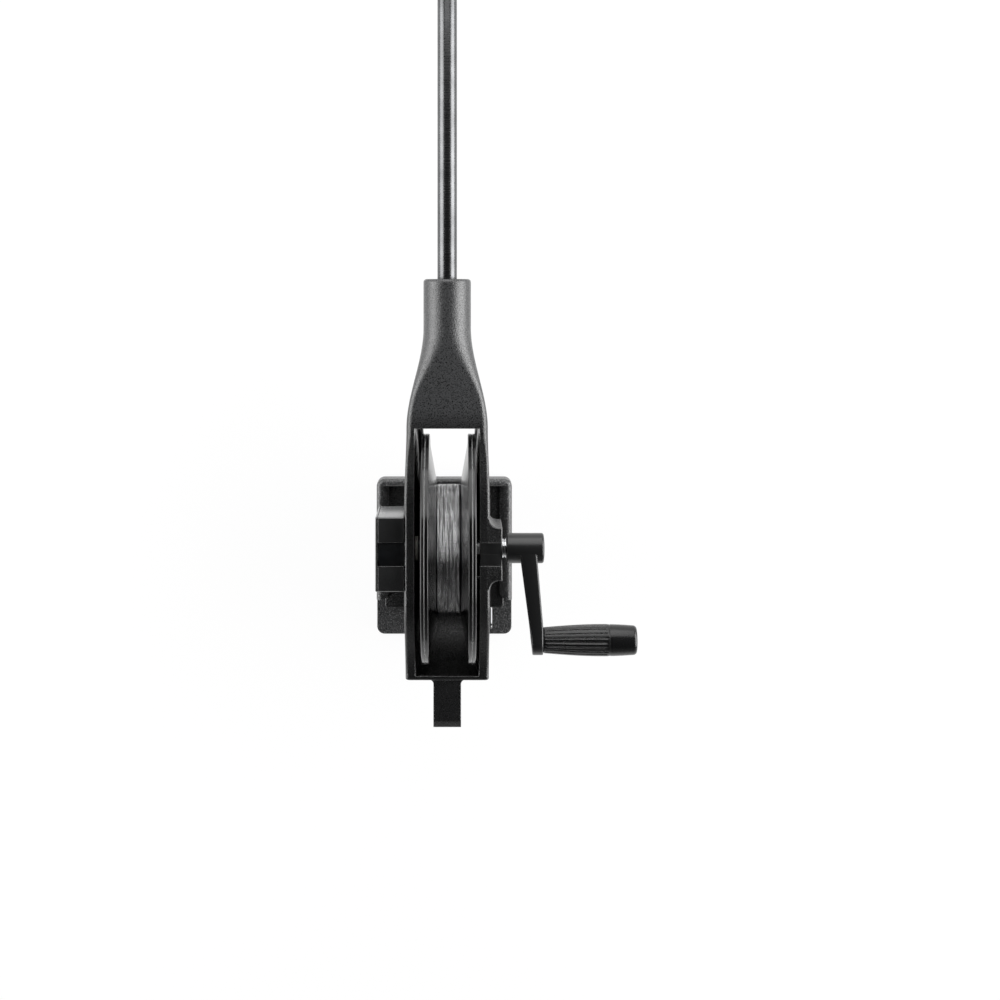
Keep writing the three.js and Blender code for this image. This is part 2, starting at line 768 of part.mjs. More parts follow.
function cableCore() {
  const outer = cableHelix - cableDiameter / 2 - fit;
  const half = windingWidth / 2 - fit;
  return ring(drumRadius + 2 * fit, outer, spoolShift - half, spoolShift + half, 0, 0, loopSteps);
}

function cableOuterLayer() {
  const width = windingWidth - cableDiameter - 2 * fit;
  const winding = coil(cableHelix, cableDiameter / 2, cableTurns, width / cableTurns, loopSteps, 6);
  winding.geometry.translate(spoolShift - width / 2, 0, 0);
  console.log(`cable_outer_layer: least gap to itself ${leastGap(winding).toFixed(3)} mm`);
  return winding.geometry;
}

// Shaft line
const pinionStart = -ringHalf - fit - counterWall - fit - gearWidth;
const shaftLeft = -ringHalf - fit;
const shaftRight = crankEnd - 6 * crankDome;

function spoolShaft() {
  return cut(turned([[pinionStart, 0], [shaftRight, 0], [shaftRight, shaftRadius],
    [shaftLeft, shaftRadius],
    [shaftLeft, shaftStubRadius], [pinionStart, shaftStubRadius]], 28), drivePinHole());
}

// Gears: involute flanks, drawn at the root, pitch and tip circles
function gear(teeth, bore, x0, x1, turn, y, z) {
  const steps = teeth > 2 * pinionTeeth ? [0, 2] : [0, 1, 2];
  const pitch = (gearModule * teeth) / 2;
  const base = pitch * Math.cos(THREE.MathUtils.degToRad(20));
  const involute = (radius) => {
    const angle = Math.acos(Math.min(1, base / radius));
    return Math.tan(angle) - angle;
  };
  const half = Math.PI / (2 * teeth) - gearBacklash / (4 * pitch);
  const tip = pitch + gearModule * gearAddendumShare;
  const root = pitch - gearModule * gearDedendumShare;
  const flank = steps.map((step) => [root, pitch, tip][step])
    .map((radius) => [radius, half + involute(pitch) - involute(radius)]);
  const points = [];
  for (let i = 0; i < teeth; i += 1) {
    const centre = turn + (2 * Math.PI * i) / teeth;
    for (const [radius, away] of flank) points.push([radius, centre - away]);
    for (const [radius, away] of [...flank].reverse()) points.push([radius, centre + away]);
  }
  const shape = outline(points.map(([radius, angle]) => [radius * Math.cos(angle),
    radius * Math.sin(angle)]));
  const blank = prism('x', shape, x0, x1).translate([0, y, z]);
  return cut(blank, rod(bore, x0 - overrun, x1 + overrun, y, z, 20));
}

function ratchetWheel() {
  const points = [];
  for (let i = 0; i < ratchetTeeth; i += 1) {
    const angle = (2 * Math.PI * i) / ratchetTeeth;
    const step = (2 * Math.PI) / ratchetTeeth;
    for (const [radius, share] of [[ratchetRadius, 0], [ratchetRadius - ratchetDepth, ratchetRampShare]]) {
      const at = angle + (share + ratchetPhaseShare) * step;
      points.push([radius * Math.cos(at), radius * Math.sin(at)]);
    }
  }
  return cut(prism('x', outline(points), ratchetStart, ratchetEnd),
    rod(shaftRadius + fit, ratchetStart - overrun, ratchetEnd + overrun, 0, 0, 28));
}

// Clutch pack beyond the ratchet
const outerPadStart = ratchetEnd + fit;
const plateStart = outerPadStart + padThickness + fit;
const sleeveStart = plateStart + plateThickness + fit;

const thrustSleeve = () => turned([
  [sleeveStart, shaftRadius + fit], [crankStart - fit, shaftRadius + fit],
  [crankStart - fit, collarRadius],
  [bossOut + fit, collarRadius], [bossOut + fit, sleeveRadius], [sleeveStart, sleeveRadius]], 32);

// Crank: a round hub and a flat arm that steps outwards, in one moulding

function crankArm() {
  const hub = turned([[crankStart, 0], [crankEnd, 0],
    [crankEnd - crankDome / 3, crankHubRadius - 3 * crankDome],
    [crankEnd - crankDome, crankHubRadius - crankDome / 2], [crankEnd - 2 * crankDome, crankHubRadius],
    [crankStart + crankDome / 2, crankHubRadius], [crankStart, crankHubRadius - crankDome / 2]], 32);
  const plan = outline([[armRootIn, 0], [armRootOut, 0], [armTipOut, -armKnee],
    [armTipOut, -crankThrow * 2],
    [armTipIn, -crankThrow - armEndRadius], [armKneeIn, -armKnee]]);
  const side = new THREE.Shape();
  side.absarc(0, 0, crankHubRadius - crankDome / 3, -Math.PI / 2, Math.PI / 2, false);
  side.absarc(-crankThrow, 0, armEndRadius, Math.PI / 2, 1.5 * Math.PI, false);
  const arm = prism('z', plan, -2 * crankHubRadius, 2 * crankHubRadius).intersect(
    prism('x', side, 0, 2 * crankEnd));
  return cut(join(hub, arm),
    rod(shaftRadius + fit, crankStart - overrun, shaftRight + fit, 0, 0, 28),
    rod(spindleRadius + fit, crankStart, crankEnd * 2, -crankThrow, 0, 20));
}

const gripStart = armTipOut + fit;
const gripEnd = gripStart + gripLength;

function crankGrip() {
  const around = 2 * fluteCount;
  const radiusAt = (x) => (x < gripBellyAt
    ? gripInner + (gripBelly - gripInner) * Math.sin((Math.PI / 2) * (x / gripBellyAt))
    : gripBelly + (gripOuter - gripBelly) * ((x - gripBellyAt) / (gripLength - gripBellyAt)) ** 2);
  const stations = [[0, 0, gripChamfer / 2], [gripChamfer / 2, 0, 0], [gripChamfer, 1, 0],
    [gripBellyAt / 4, 1, 0], [gripBellyAt / 2, 1, 0], [(3 * gripBellyAt) / 4, 1, 0],
    [gripFluteEnd - gripChamfer, 1, 0], [gripFluteEnd, 0, 0],
    [(gripFluteEnd + gripLength) / 2, 0, 0], [gripLength - gripChamfer, 0, 0],
    [gripLength, 0, gripChamfer / 2]];
  const loops = stations.map(([along, fluted, inset]) => {
    const loop = [];
    for (let k = 0; k < around; k += 1) {
      const angle = (2 * Math.PI * k) / around;
      const radius = radiusAt(along) - inset - (k % 2) * fluteDepth * fluted;
      loop.push([gripStart + along, radius * Math.cos(angle) - crankThrow, radius * Math.sin(angle)]);
    }
    return loop;
  });
  return cut(solid(loft(loops)),
    rod(spindleRadius + fit, gripStart - overrun, gripEnd + overrun, -crankThrow, 0, 20),
    rod(gripCapRadius + fit, gripEnd - gripCapThickness - spindleHeadLength - 2 * fit, gripEnd + overrun,
      -crankThrow, 0, 28));
}

const spindleEnd = gripEnd - gripCapThickness - fit;
const spindle = () => turned([[armTipIn + fit, 0], [spindleEnd, 0], [spindleEnd, spindleHead],
  [spindleEnd - spindleHeadLength + fit, spindleHead],
  [spindleEnd - spindleHeadLength + fit, spindleRadius],
  [armTipIn + fit, spindleRadius]], 20, -crankThrow);
const gripCap = () => turned([[gripEnd - gripCapThickness, 0], [gripEnd + crankDome / 2, 0],
  [gripEnd, gripCapRadius / 2], [gripEnd - crankDome / 2, gripCapRadius],
  [gripEnd - gripCapThickness, gripCapRadius]], 28, -crankThrow);

// Line counter: a box on the frame's far side, with a reduction gear train under a lens

const counterIn = -ringHalf - fit;
const counterLid = -counterOut + coverThickness;
const idlerDistance = (gearModule * (pinionTeeth + idlerTeeth)) / 2;
const wheelDistance = (gearModule * (pinionTeeth + wheelGearTeeth)) / 2;
const idlerUp = (wheelAxisUp ** 2 + idlerDistance ** 2 - wheelDistance ** 2) / (2 * wheelAxisUp);
const idlerBack = -Math.sqrt(idlerDistance ** 2 - idlerUp ** 2);
const idlerGearStart = pinionStart - fit - gearWidth;
const postPlaces = [-1, 1].flatMap((v) => [-1, 1].map((w) => [
  v * (counterHalf - screwInset), w * (ringTop - screwInset)]));

function counterHousing() {
  const outer = roundedRect(counterHalf, ringTop, counterWall);
  const inner = roundedRect(counterHalf - counterWall, ringTop - counterWall, counterWall / 2);
  const shell = cut(prism('x', outer, counterLid + fit, counterIn, 4),
    prism('x', inner, counterLid - overrun, counterIn - counterWall, 4));
  const posts = postPlaces.map(([y, z]) => rod(screwPost, counterLid + fit, counterIn - overrun, y, z,
    12));
  const bosses = counterBoltY.map((y) => rod(2 * boltRadius, counterIn - boltReach, counterIn - overrun,
    y, 0, 12));
  const tools = [
    block(-counterOut, counterIn + overrun, -lensHalf - fit, lensHalf + fit, ringTop - lensDepth - fit,
      ringTop + overrun),
    rod(shaftRadius + 2 * fit, counterIn - 2 * counterWall, counterIn + overrun, 0, 0, 24),
    rod(counterPinRadius + fit, -counterOut, counterIn - counterWall / 2, idlerBack, idlerUp, 16),
    ...postPlaces.map(([y, z]) => rod(coverScrewRadius + fit, -counterOut, counterIn - counterWall, y, z,
      10)),
    ...counterBoltY.map((y) => rod(boltRadius + fit, counterIn - boltReach - overrun, counterIn + overrun,
      y, 0, 10)),
  ];
  return cut(join(shell, ...posts, ...bosses), ...tools);
}

function counterCover() {
  const edge = coverThickness / 2;
  const rimmed = new THREE.ExtrudeGeometry(
    roundedRect(counterHalf - edge, ringTop - edge, counterWall - edge),
    { depth: coverThickness, bevelSize: edge, bevelThickness: edge, bevelSegments: 2, curveSegments: 3 });
  rimmed.translate(0, 0, -counterOut + edge);
  rimmed.applyMatrix4(axes.x);
  const panel = cut(solid(rimmed),
    block(counterLid, counterIn, -2 * counterHalf, 2 * counterHalf, -2 * ringTop, 2 * ringTop));
  const seat = rod(2 * counterPinRadius, counterLid - overrun, wheelStart(2) - fit, 0, wheelAxisUp, 16);
  return cut(join(panel, seat),
    rod(counterPinRadius + fit, axleSeat - fit, counterIn, 0, wheelAxisUp, 16),
    ...postPlaces.map(([y, z]) => rod(coverScrewRadius + fit, -2 * counterOut, counterIn, y, z, 10)),
    ...postPlaces.map(([y, z]) => rod(coverHeadRadius + fit, -2 * counterOut,
      -counterOut + coverHeadHeight + fit, y, z, 14)));
}

const coverScrew = (y, z) => turned([[-counterOut, 0], [-counterOut + coverScrewLength, 0],
  [-counterOut + coverScrewLength, coverScrewRadius], [-counterOut + coverHeadHeight, coverScrewRadius],
  [-counterOut + coverHeadHeight, coverHeadRadius], [-counterOut, coverHeadRadius]], 12, y, z);

function counterLens() {
  const shape = new THREE.Shape();
  shape.moveTo(-lensHalf, ringTop - lensDepth);
  shape.lineTo(lensHalf, ringTop - lensDepth);
  shape.lineTo(lensHalf, ringTop - lensCrown);
  shape.quadraticCurveTo(0, ringTop + lensCrown, -lensHalf, ringTop - lensCrown);
  return prism('x', shape, counterLid + fit, counterIn - fit);
}

const idlerTurn = () => {
  const toShaft = Math.atan2(-idlerUp, -idlerBack);
  return toShaft + Math.PI / idlerTeeth;
};

function counterIdler() {
  const toWheel = Math.atan2(wheelAxisUp - idlerUp, -idlerBack);
  const bore = counterPinRadius + fit;
  return join(
    gear(idlerTeeth, bore, pinionStart, pinionStart + gearWidth, idlerTurn(), idlerBack, idlerUp),
    gear(pinionTeeth, bore, idlerGearStart, pinionStart + overrun / 2, toWheel, idlerBack, idlerUp));
}

const drivePinion = () => gear(pinionTeeth, shaftStubRadius + fit, pinionStart,
  pinionStart + gearWidth - fit,
  Math.atan2(idlerUp, idlerBack), 0, 0);

const wheelStart = (place) => idlerGearStart - fit - wheelWidth - place * (wheelWidth + fit);
const digitDisc = (place) => ring(counterPinRadius + fit, wheelRadius, wheelStart(place),
  wheelStart(place) + wheelWidth, 0, wheelAxisUp, 32);

function unitsWheel() {
  const toIdler = Math.atan2(idlerUp - wheelAxisUp, idlerBack);
  return join(digitDisc(0), gear(wheelGearTeeth, counterPinRadius + fit,
    wheelStart(0) + wheelWidth - overrun / 2,
    idlerGearStart + gearWidth - fit, toIdler + Math.PI / wheelGearTeeth, 0, wheelAxisUp));
}

const axleSeat = -counterOut + coverThickness / 2;
const wheelAxle = () => rod(counterPinRadius, axleSeat, idlerGearStart + gearWidth - fit, 0, wheelAxisUp,
  12);
const idlerPin = () => rod(counterPinRadius, idlerGearStart - fit, counterIn - counterWall / 2 - fit,
  idlerBack, idlerUp, 12);
const housingBolt = (y) => turned([[-bayHalf - boltHeadHeight, 0], [-bayHalf, 0],
  [-bayHalf, boltHeadRadius],
  [-bayHalf - boltHeadHeight, boltHeadRadius], [-bayHalf - boltHeadHeight, boltRadius],
  [counterIn - boltReach + fit, boltRadius], [counterIn - boltReach + fit, 0]].reverse(), 16, y, 0);

// Boom and its head

const boomStart = crossbarFace + socketFloor + fit;
const boomEnd = boomStart + boomLength;

function boomTube() {
  const geometry = turnedGeometry([[boomStart, boomRadius - boomWall], [boomEnd, boomRadius - boomWall],
    [boomEnd, boomRadius], [boomStart, boomRadius]], 32);
  geometry.rotateZ(Math.PI / 2);
  geometry.translate(0, 0, boomRise);
  const hole = upright(boomScrewRadius + fit, 0, boomScrewAt, neckLow, boomRise);
  return cut(solid(geometry), hole);
}

function boomScrew() {
  const head = upright(boomScrewHead, 0, boomScrewAt, neckLow + boomScrewSink - 2 * boomScrewRadius,
    neckLow + boomScrewSink - fit, 20);
  const shank = upright(boomScrewRadius, 0, boomScrewAt, neckLow + boomScrewSink - boomScrewRadius,
    boomRise - boomRadius + 2 * boomWall);
  return join(head, shank);
}

const headStart = boomEnd - headSleeveLength;
const pulleyAt = boomEnd + pulleyForward;
const pulleyUp = boomRise + pulleyRise;
const cheekIn = headGap / 2;
const cheekOut = cheekIn + cheekThickness;

function boomHead() {
  const around = (radius, from, to, segments = 32) => {
    const geometry = new THREE.CylinderGeometry(radius, radius, to - from, segments);
    geometry.translate(0, (from + to) / 2, boomRise);
    return solid(geometry);
  };
  const cheekSide = new THREE.Shape();
  cheekSide.absarc(pulleyAt, pulleyUp, headTail, -Math.PI / 2, Math.PI / 2, false);
  cheekSide.lineTo(boomEnd, boomRise + headSleeveRadius);
  cheekSide.lineTo(headStart + headTail, boomRise + headSleeveRadius / 2);
  cheekSide.lineTo(headStart + headTail, boomRise - headSleeveRadius / 2);
  cheekSide.lineTo(boomEnd, boomRise - headSleeveRadius);
  const fork = prism('x', cheekSide, -cheekOut, cheekOut);
  const gap = block(-cheekIn, cheekIn, pulleyAt - pulleyRadius - 3 * fit,
    pulleyAt + pulleyRadius + headTail,
    pulleyUp - 2 * pulleyRadius, pulleyUp + 2 * pulleyRadius);
  return cut(join(around(headSleeveRadius, headStart, boomEnd + headTail - cheekThickness), fork),
    around(boomRadius + fit, headStart - overrun, boomEnd + fit), gap,
    rod(pulleyPinRadius + fit, -2 * cheekOut, 2 * cheekOut, pulleyAt, pulleyUp, 20),
    upright(headScrewRadius + fit, 0, headScrewAt, boomRise + boomRadius, boomRise + 2 * headSleeveRadius,
      12));
}

const headScrewAt = headStart + 2 * boomRadius;
const headScrew = () => join(
  upright(headScrewRadius, 0, headScrewAt, boomRise + boomRadius + fit,
    boomRise + headSleeveRadius + overrun, 12),
  upright(2 * headScrewRadius, 0, headScrewAt, boomRise + headSleeveRadius + fit,
    boomRise + headSleeveRadius + fit + headScrewTop, 16));

function pulleyWheel() {
  const half = pulleyWidth / 2;
  return turned([[-half, pulleyPinRadius + 2 * fit + bushWall],
    [half, pulleyPinRadius + 2 * fit + bushWall],
    [half, pulleyRadius - rimChamfer], [half - rimChamfer, pulleyRadius],
    [grooveDepth / 6, pulleyRadius - grooveDepth],
    [-grooveDepth / 6, pulleyRadius - grooveDepth], [rimChamfer - half, pulleyRadius],
    [-half, pulleyRadius - rimChamfer]], 32, pulleyAt, pulleyUp);
}

const pulleyBush = () => ring(pulleyPinRadius + fit, pulleyPinRadius + fit + bushWall, -cheekIn + fit,
  cheekIn - fit,
  pulleyAt, pulleyUp, 24);
const pulleyBolt = () => turned([[-cheekOut - nutHeight, 0], [cheekOut + 2 * nutHeight, 0],
  [cheekOut + 2 * nutHeight, pulleyPinRadius], [-cheekOut - fit, pulleyPinRadius],
  [-cheekOut - fit, 2 * pulleyPinRadius], [-cheekOut - nutHeight,
    2 * pulleyPinRadius]], 18, pulleyAt, pulleyUp);

const pulleyNut = () => cut(
  rod(2 * pulleyPinRadius, cheekOut + fit, cheekOut + fit + nutHeight, pulleyAt, pulleyUp, 6),
  rod(pulleyPinRadius + fit, cheekOut, cheekOut + 2 * nutHeight, pulleyAt, pulleyUp, 18));

// The assembly

const downrigger = new THREE.Group();
downrigger.name = 'downrigger';
downrigger.add(
  piece('mount_base', mountBase(), filledNylon),
  piece('latch_lever', latchLever(), smoothNylon),
  piece('latch_pin', rod(latchPinRadius, windowShift - windowHalf - latchPinSeat + fit,
    windowShift + windowHalf + latchPinSeat - fit, -latchPinRear, latchPinHeight, 16), brightSteel),
);

const latchCoil = coil(latchPinRadius + 2 * fit + pawlSpringWire, pawlSpringWire, pawlSpringTurns,
  pawlSpringPitch, 10, 5).geometry;
latchCoil.translate(windowShift - (pawlSpringTurns * pawlSpringPitch) / 2, -latchPinRear, latchPinHeight);
downrigger.add(piece('latch_spring', latchCoil, brightSteel));

const works = new THREE.Group();
works.position.set(frameShift, axleForward, axleHeight);
downrigger.add(works);

const pawlCoil = coil(pawlPinRadius + fit + pawlSpringWire, pawlSpringWire, pawlSpringTurns,
  pawlSpringPitch, 8, 5).geometry;
pawlCoil.translate(sleeveStart, 0, pawlPivot);
pawlCoil.rotateX(THREE.MathUtils.degToRad(pawlLeanDegrees));

works.add(
  piece('main_frame', mainFrame(), filledNylon),
  piece('boom_tube', boomTube(), tubeSteel),
  piece('boom_screw', boomScrew(), brightSteel),
  piece('bearing_block', bearingBlock(), smoothNylon),
  piece('shaft_bush', leftBush(), acetal),
  piece('thrust_washer', ring(shaftRadius + fit, bushFlange, washerStart, washerStart + washerThickness),
    brightSteel),
  piece('pawl_pin', leaned(rod(pawlPinRadius, ratchetStart - fit, bayHalf + pawlPinSeat - fit, 0,
    pawlPivot, 16)),
    brightSteel),
  piece('pawl', leaned(pawl()), brightSteel),
  piece('pawl_spring', pawlCoil, brightSteel),

  piece('spool_drum', spoolDrum(), glossBlack),
  piece('spool_shaft', spoolShaft(), brightSteel),
  piece('drive_pin', drivePin(), brightSteel),
  piece('cable_core', cableCore(), cableSteel),
  piece('cable_outer_layer', cableOuterLayer(), cableSteel),
  piece('inner_friction_pad', ring(padHole, padRadius, webRight + fit, webRight + fit + padThickness),
    frictionFibre),
  piece('ratchet_wheel', ratchetWheel(), brightSteel),
  piece('drive_pinion', drivePinion(), bronze),

  piece('outer_friction_pad', ring(padHole, padRadius, outerPadStart, outerPadStart + padThickness),
    frictionFibre),
  piece('pressure_plate', ring(shaftRadius + fit, padRadius, plateStart, plateStart + plateThickness),
    brightSteel),
  piece('thrust_sleeve', thrustSleeve(), brightSteel),
  piece('crank_arm', crankArm(), smoothNylon),
  piece('grip_spindle', spindle(), brightSteel),
  piece('crank_grip', crankGrip(), gripRubber),
  piece('grip_cap', gripCap(), gripRubber),

  piece('counter_housing', counterHousing(), smoothNylon),
  piece('counter_cover', counterCover(), smoothNylon),
  piece('counter_lens', counterLens(), lensSmoke),
  piece('wheel_axle', wheelAxle(), brightSteel),
  piece('idler_pin', idlerPin(), brightSteel),
  piece('counter_idler', counterIdler(), acetal),
  piece('units_wheel', unitsWheel(), digitBlack),
  piece('tens_wheel', digitDisc(1), digitBlack),
  piece('hundreds_wheel', digitDisc(2), digitBlack),

  piece('boom_head', boomHead(), filledNylon),
  piece('head_screw', headScrew(), brightSteel),
  piece('pulley_wheel', pulleyWheel(), smoothNylon),
  piece('pulley_bush', pulleyBush(), acetal),
  piece('pulley_bolt', pulleyBolt(), brightSteel),
  piece('pulley_nut', pulleyNut(), brightSteel),
);

postPlaces.forEach(([y, z], index) => {
  works.add(piece(`cover_screw_${index + 1}`, coverScrew(y, z), brightSteel));
});
counterBoltY.forEach((y, index) => {
  works.add(piece(`housing_bolt_${index + 1}`, housingBolt(y), brightSteel));
});

downrigger.updateMatrixWorld(true);

export default downrigger;
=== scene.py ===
"""Looks for a compact manual downrigger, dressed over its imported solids.

Lengths are millimetres. Everything above the base is measured from the spool's axis, and the base
and its latch from the middle of the base's underside. Each mesh is moved to the shared frame, in
metres, when it is made.
"""

import json
import math

import bmesh
import bpy
import numpy as np
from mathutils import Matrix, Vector


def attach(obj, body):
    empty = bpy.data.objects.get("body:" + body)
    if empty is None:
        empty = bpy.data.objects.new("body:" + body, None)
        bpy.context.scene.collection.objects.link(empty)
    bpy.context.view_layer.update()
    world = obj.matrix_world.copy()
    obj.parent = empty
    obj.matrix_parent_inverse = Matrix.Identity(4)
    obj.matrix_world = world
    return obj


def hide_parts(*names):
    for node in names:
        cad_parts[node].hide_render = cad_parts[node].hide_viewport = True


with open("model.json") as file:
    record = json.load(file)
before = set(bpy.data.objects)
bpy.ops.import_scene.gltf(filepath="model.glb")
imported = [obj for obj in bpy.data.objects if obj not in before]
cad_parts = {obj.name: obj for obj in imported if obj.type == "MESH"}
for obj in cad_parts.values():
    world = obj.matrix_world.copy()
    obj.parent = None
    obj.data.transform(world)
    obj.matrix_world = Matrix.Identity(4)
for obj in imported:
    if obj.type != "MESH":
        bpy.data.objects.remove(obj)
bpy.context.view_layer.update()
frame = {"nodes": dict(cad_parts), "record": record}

# ---- Places and sizes shared with the solids

METRE = 0.001
AXLE = np.array([3.6, 27.2, 136.0])
DECK = np.zeros(3)
FIT = 0.3
OVER = 1.0

SPOOL_SHIFT = 1.5
SPOOL_HALF = 26.0
FLANGE_R = 111.8
FLANGE_RIM = 7.4
RIM_DEPTH = 8.5
FLANGE_WALL = 3.8
WINDING_HALF = 11.35
WINDING_R = 62.5
DRUM_R = 47.0
DRUM_WALL = 4.0
HUB_R = 14.0
HUB_END = 26.4
SHAFT_R = 6.35
SHAFT_HOLE = 6.65
CABLE_D = 0.95
CABLE_TURNS = 23

RING_HALF = 41.1
RING_REAR_HALF = 40.6
RING_FRONT_HALF = 39.3
BAY_HALF = 31.5
BAY_LOW_HALF = 28.5
CROSSBAR = 119.5
REAR = 127.6
BAY_REAR = 123.2
LIP_LEFT = 24.2
LIP_RIGHT = 27.4
LIP_DEPTH = 7.0
RING_TOP = 41.0
TOP_FLAT = 45.0
REAR_TOP = 10.0
GUARD_TURN = 34.0
RIM_ROUND = 3.0
NECK_TIP = 263.6
NECK_PARALLEL = 48.0
NECK_R = 23.15
BOOM_RISE = 8.0
NECK_ROOT_DROP = 30.0
NECK_EDGE = 3.2
TAIL_END = 174.8
TAIL_HALF = 13.5
FOOT_HALF = 62.0
FOOT_TOP = -119.0
FOOT_BOTTOM = -126.7
FOOT_FRONT = 47.6
FOOT_REAR = -80.6
LEG_TOP = -109.7
BOSS_OUT = 52.9
BOSS_HALF = 25.4
BOSS_FILLET = 8.5
BOSS_ROOT = 34.2
SLOT_HALF = 11.0
BUSH_HOLE_R = 8.9
BUSH_SEAT_R = 13.2
POCKETS = ((188, 213), (218, 243), (248, 279))
POCKET_FAR = 103
POCKET_NEAR = 46
POCKET_DEPTH = 2.5
BOOM_R = 9.525
BOOM_WALL = 1.65
BOOM_START = 122.8
BOOM_END = 630.8
BOOM_SCREW_Y = 190
BOOM_SCREW_R = 4.8

BASE_HALF_X = 70.7
BASE_HALF_Y = 82.4
BASE_FLOOR = 9.0
BASE_FRONT_WALL = 7.3
RAIL_TOP = 26.0
RAIL_IN = 65.9
RAIL_ROUND = 4.5
RAIL_REAR = -43.9
DECK_BOLTS = [(x, y) for x in (-44, 44) for y in (-38, 38)]
WINDOW_X = 5.0
WINDOW_HALF = 45.4
WINDOW_FRONT = -52.7
WINDOW_REAR = -77.0
LATCH_PIN_Y = -73.2
LATCH_PIN_Z = 5.0
LATCH_PIN_R = 1.9
LATCH_HALF = 44.1
LATCH_FRONT = -54.9

CRANK_START = 58.4
CRANK_END = 95.2
CRANK_HUB_R = 14.7
CRANK_THROW = 90.2
ARM_END_R = 14.4
ARM_BENDS = [0, 76.4, 104.6]
ARM_INNER = [70.4, 80.6, 83.5]
ARM_OUTER = [87.0, 93.6, 93.6]
SPINDLE_R = 4.3
GRIP_START = 93.9
GRIP_LENGTH = 91.4
GRIP_BELLY = 57.5
CAP_SEAT = 178.3
FLUTES = 20
FLUTE_END = 63.0

COUNTER_OUT = -68.7
COUNTER_LID = -66.5
COUNTER_IN = -41.4
COUNTER_HALF = 36.0
COUNTER_WALL = 2.5
COUNTER_SCREWS = [(side * 30.5, up * 35.5) for side in (-1, 1) for up in (-1, 1)]
LENS_HALF = 11.0
LENS_SEAT = 37.7
WHEEL_UP = 23.0
WHEEL_R = 14.0
WHEEL_WIDTH = 4.6
WHEEL_STARTS = {"units_wheel": -55.4, "tens_wheel": -60.3, "hundreds_wheel": -65.2}

PULLEY_Y = 670.8
PULLEY_Z = 17.0
PULLEY_R = 25.0
PULLEY_HALF = 5.5
PULLEY_ROOM = 25.9
HEAD_START = 586.8
HEAD_R = 14.0
CHEEK_IN = 8.0
CHEEK_OUT = 12.0

# ---- Outlines: arrays of points, taken round once


def rounded(points, radius, steps=5):
    """Every corner becomes an arc of the radius that touches both its sides."""
    points = np.asarray(points, float)
    radii = np.broadcast_to(radius, len(points))
    parts = []
    for corner, back, ahead, wanted in zip(
        points, np.roll(points, 1, 0) - points, np.roll(points, -1, 0) - points, radii
    ):
        lengths = np.linalg.norm(back), np.linalg.norm(ahead)
        back, ahead = back / lengths[0], ahead / lengths[1]
        half = 0.5 * math.acos(np.clip(back @ ahead, -1, 1))
        if wanted <= 0 or half > math.radians(88):
            parts.append(corner[None])
            continue
        reach = min(wanted / math.tan(half), 0.49 * min(lengths))
        real = reach * math.tan(half)
        middle = back + ahead
        centre = corner + middle / np.linalg.norm(middle) * real / math.sin(half)
        start, end = corner + back * reach - centre, corner + ahead * reach - centre
        sweep = math.pi - 2 * half
        t = np.linspace(0, 1, steps + 1)[:, None]
        turn = np.sin((1 - t) * sweep) * start + np.sin(t * sweep) * end
        parts.append(centre + turn / math.sin(sweep))
    return np.concatenate(parts)


def outline(steps, *corners):
    """Corners given as (u, v) or (u, v, radius), each rounded by its own radius."""
    rows = np.array([(*corner, 0)[:3] for corner in corners], float)
    return rounded(rows[:, :2], rows[:, 2], steps)


def arc(centre, radius, start, end, steps=16):
    """Points on a circle from one angle to the other, in degrees."""
    t = np.radians(np.linspace(start, end, steps + 1))
    return np.stack([centre[0] + radius * np.cos(t), centre[1] + radius * np.sin(t)], 1)


def bend(start, control, end, steps=16):
    """A curve that leaves the start and reaches the end pointing at one control point."""
    t = np.linspace(0, 1, steps + 1)[:, None]
    start, control, end = (np.asarray(p, float) for p in (start, control, end))
    return (1 - t) ** 2 * start + 2 * t * (1 - t) * control + t**2 * end


def rectangle(half_u, half_v, radius, steps=6):
    """A rectangle about the origin with round corners."""
    corners = [(half_u, -half_v), (half_u, half_v), (-half_u, half_v), (-half_u, -half_v)]
    return rounded(corners, radius, steps)


def inset(points, amount):
    """Every side moves inward by the amount, and the corners stay mitred."""
    points = np.asarray(points, float)
    ahead = np.roll(points, -1, 0) - points
    area = np.sum(points[:, 0] * np.roll(points[:, 1], -1) - points[:, 1] * np.roll(points[:, 0], -1))
    normal = np.stack([-ahead[:, 1], ahead[:, 0]], 1) * np.sign(area)
    normal /= np.maximum(np.linalg.norm(normal, axis=1, keepdims=True), 1e-9)
    before = np.roll(normal, 1, 0)
    share = 1 + np.sum(normal * before, 1, keepdims=True)
    return points + amount * (normal + before) / np.maximum(share, 0.25)


# ---- Surfaces


def linked(name, data):
    """A new object of this data in the scene."""
    made = bpy.data.objects.new(name, data)
    bpy.context.scene.collection.objects.link(made)
    return made


def solid(name, points, faces, origin=AXLE, marks=None):
    """A mesh from points in millimetres: doubles merged, faces turned out, moved to the shared frame."""
    mesh = bpy.data.meshes.new(name)
    mesh.from_pydata(((points + origin) * METRE).tolist(), [], faces)
    if marks is not None:
        lengths = mesh.attributes.new("wire", "FLOAT_VECTOR", "POINT")
        lengths.data.foreach_set("vector", np.asarray(marks, np.float32).ravel())
    cleaner = bmesh.new()
    cleaner.from_mesh(mesh)
    bmesh.ops.remove_doubles(cleaner, verts=cleaner.verts, dist=2e-7)
    bmesh.ops.recalc_face_normals(cleaner, faces=cleaner.faces)
    cleaner.to_mesh(mesh)
    cleaner.free()
    return linked(name, mesh)


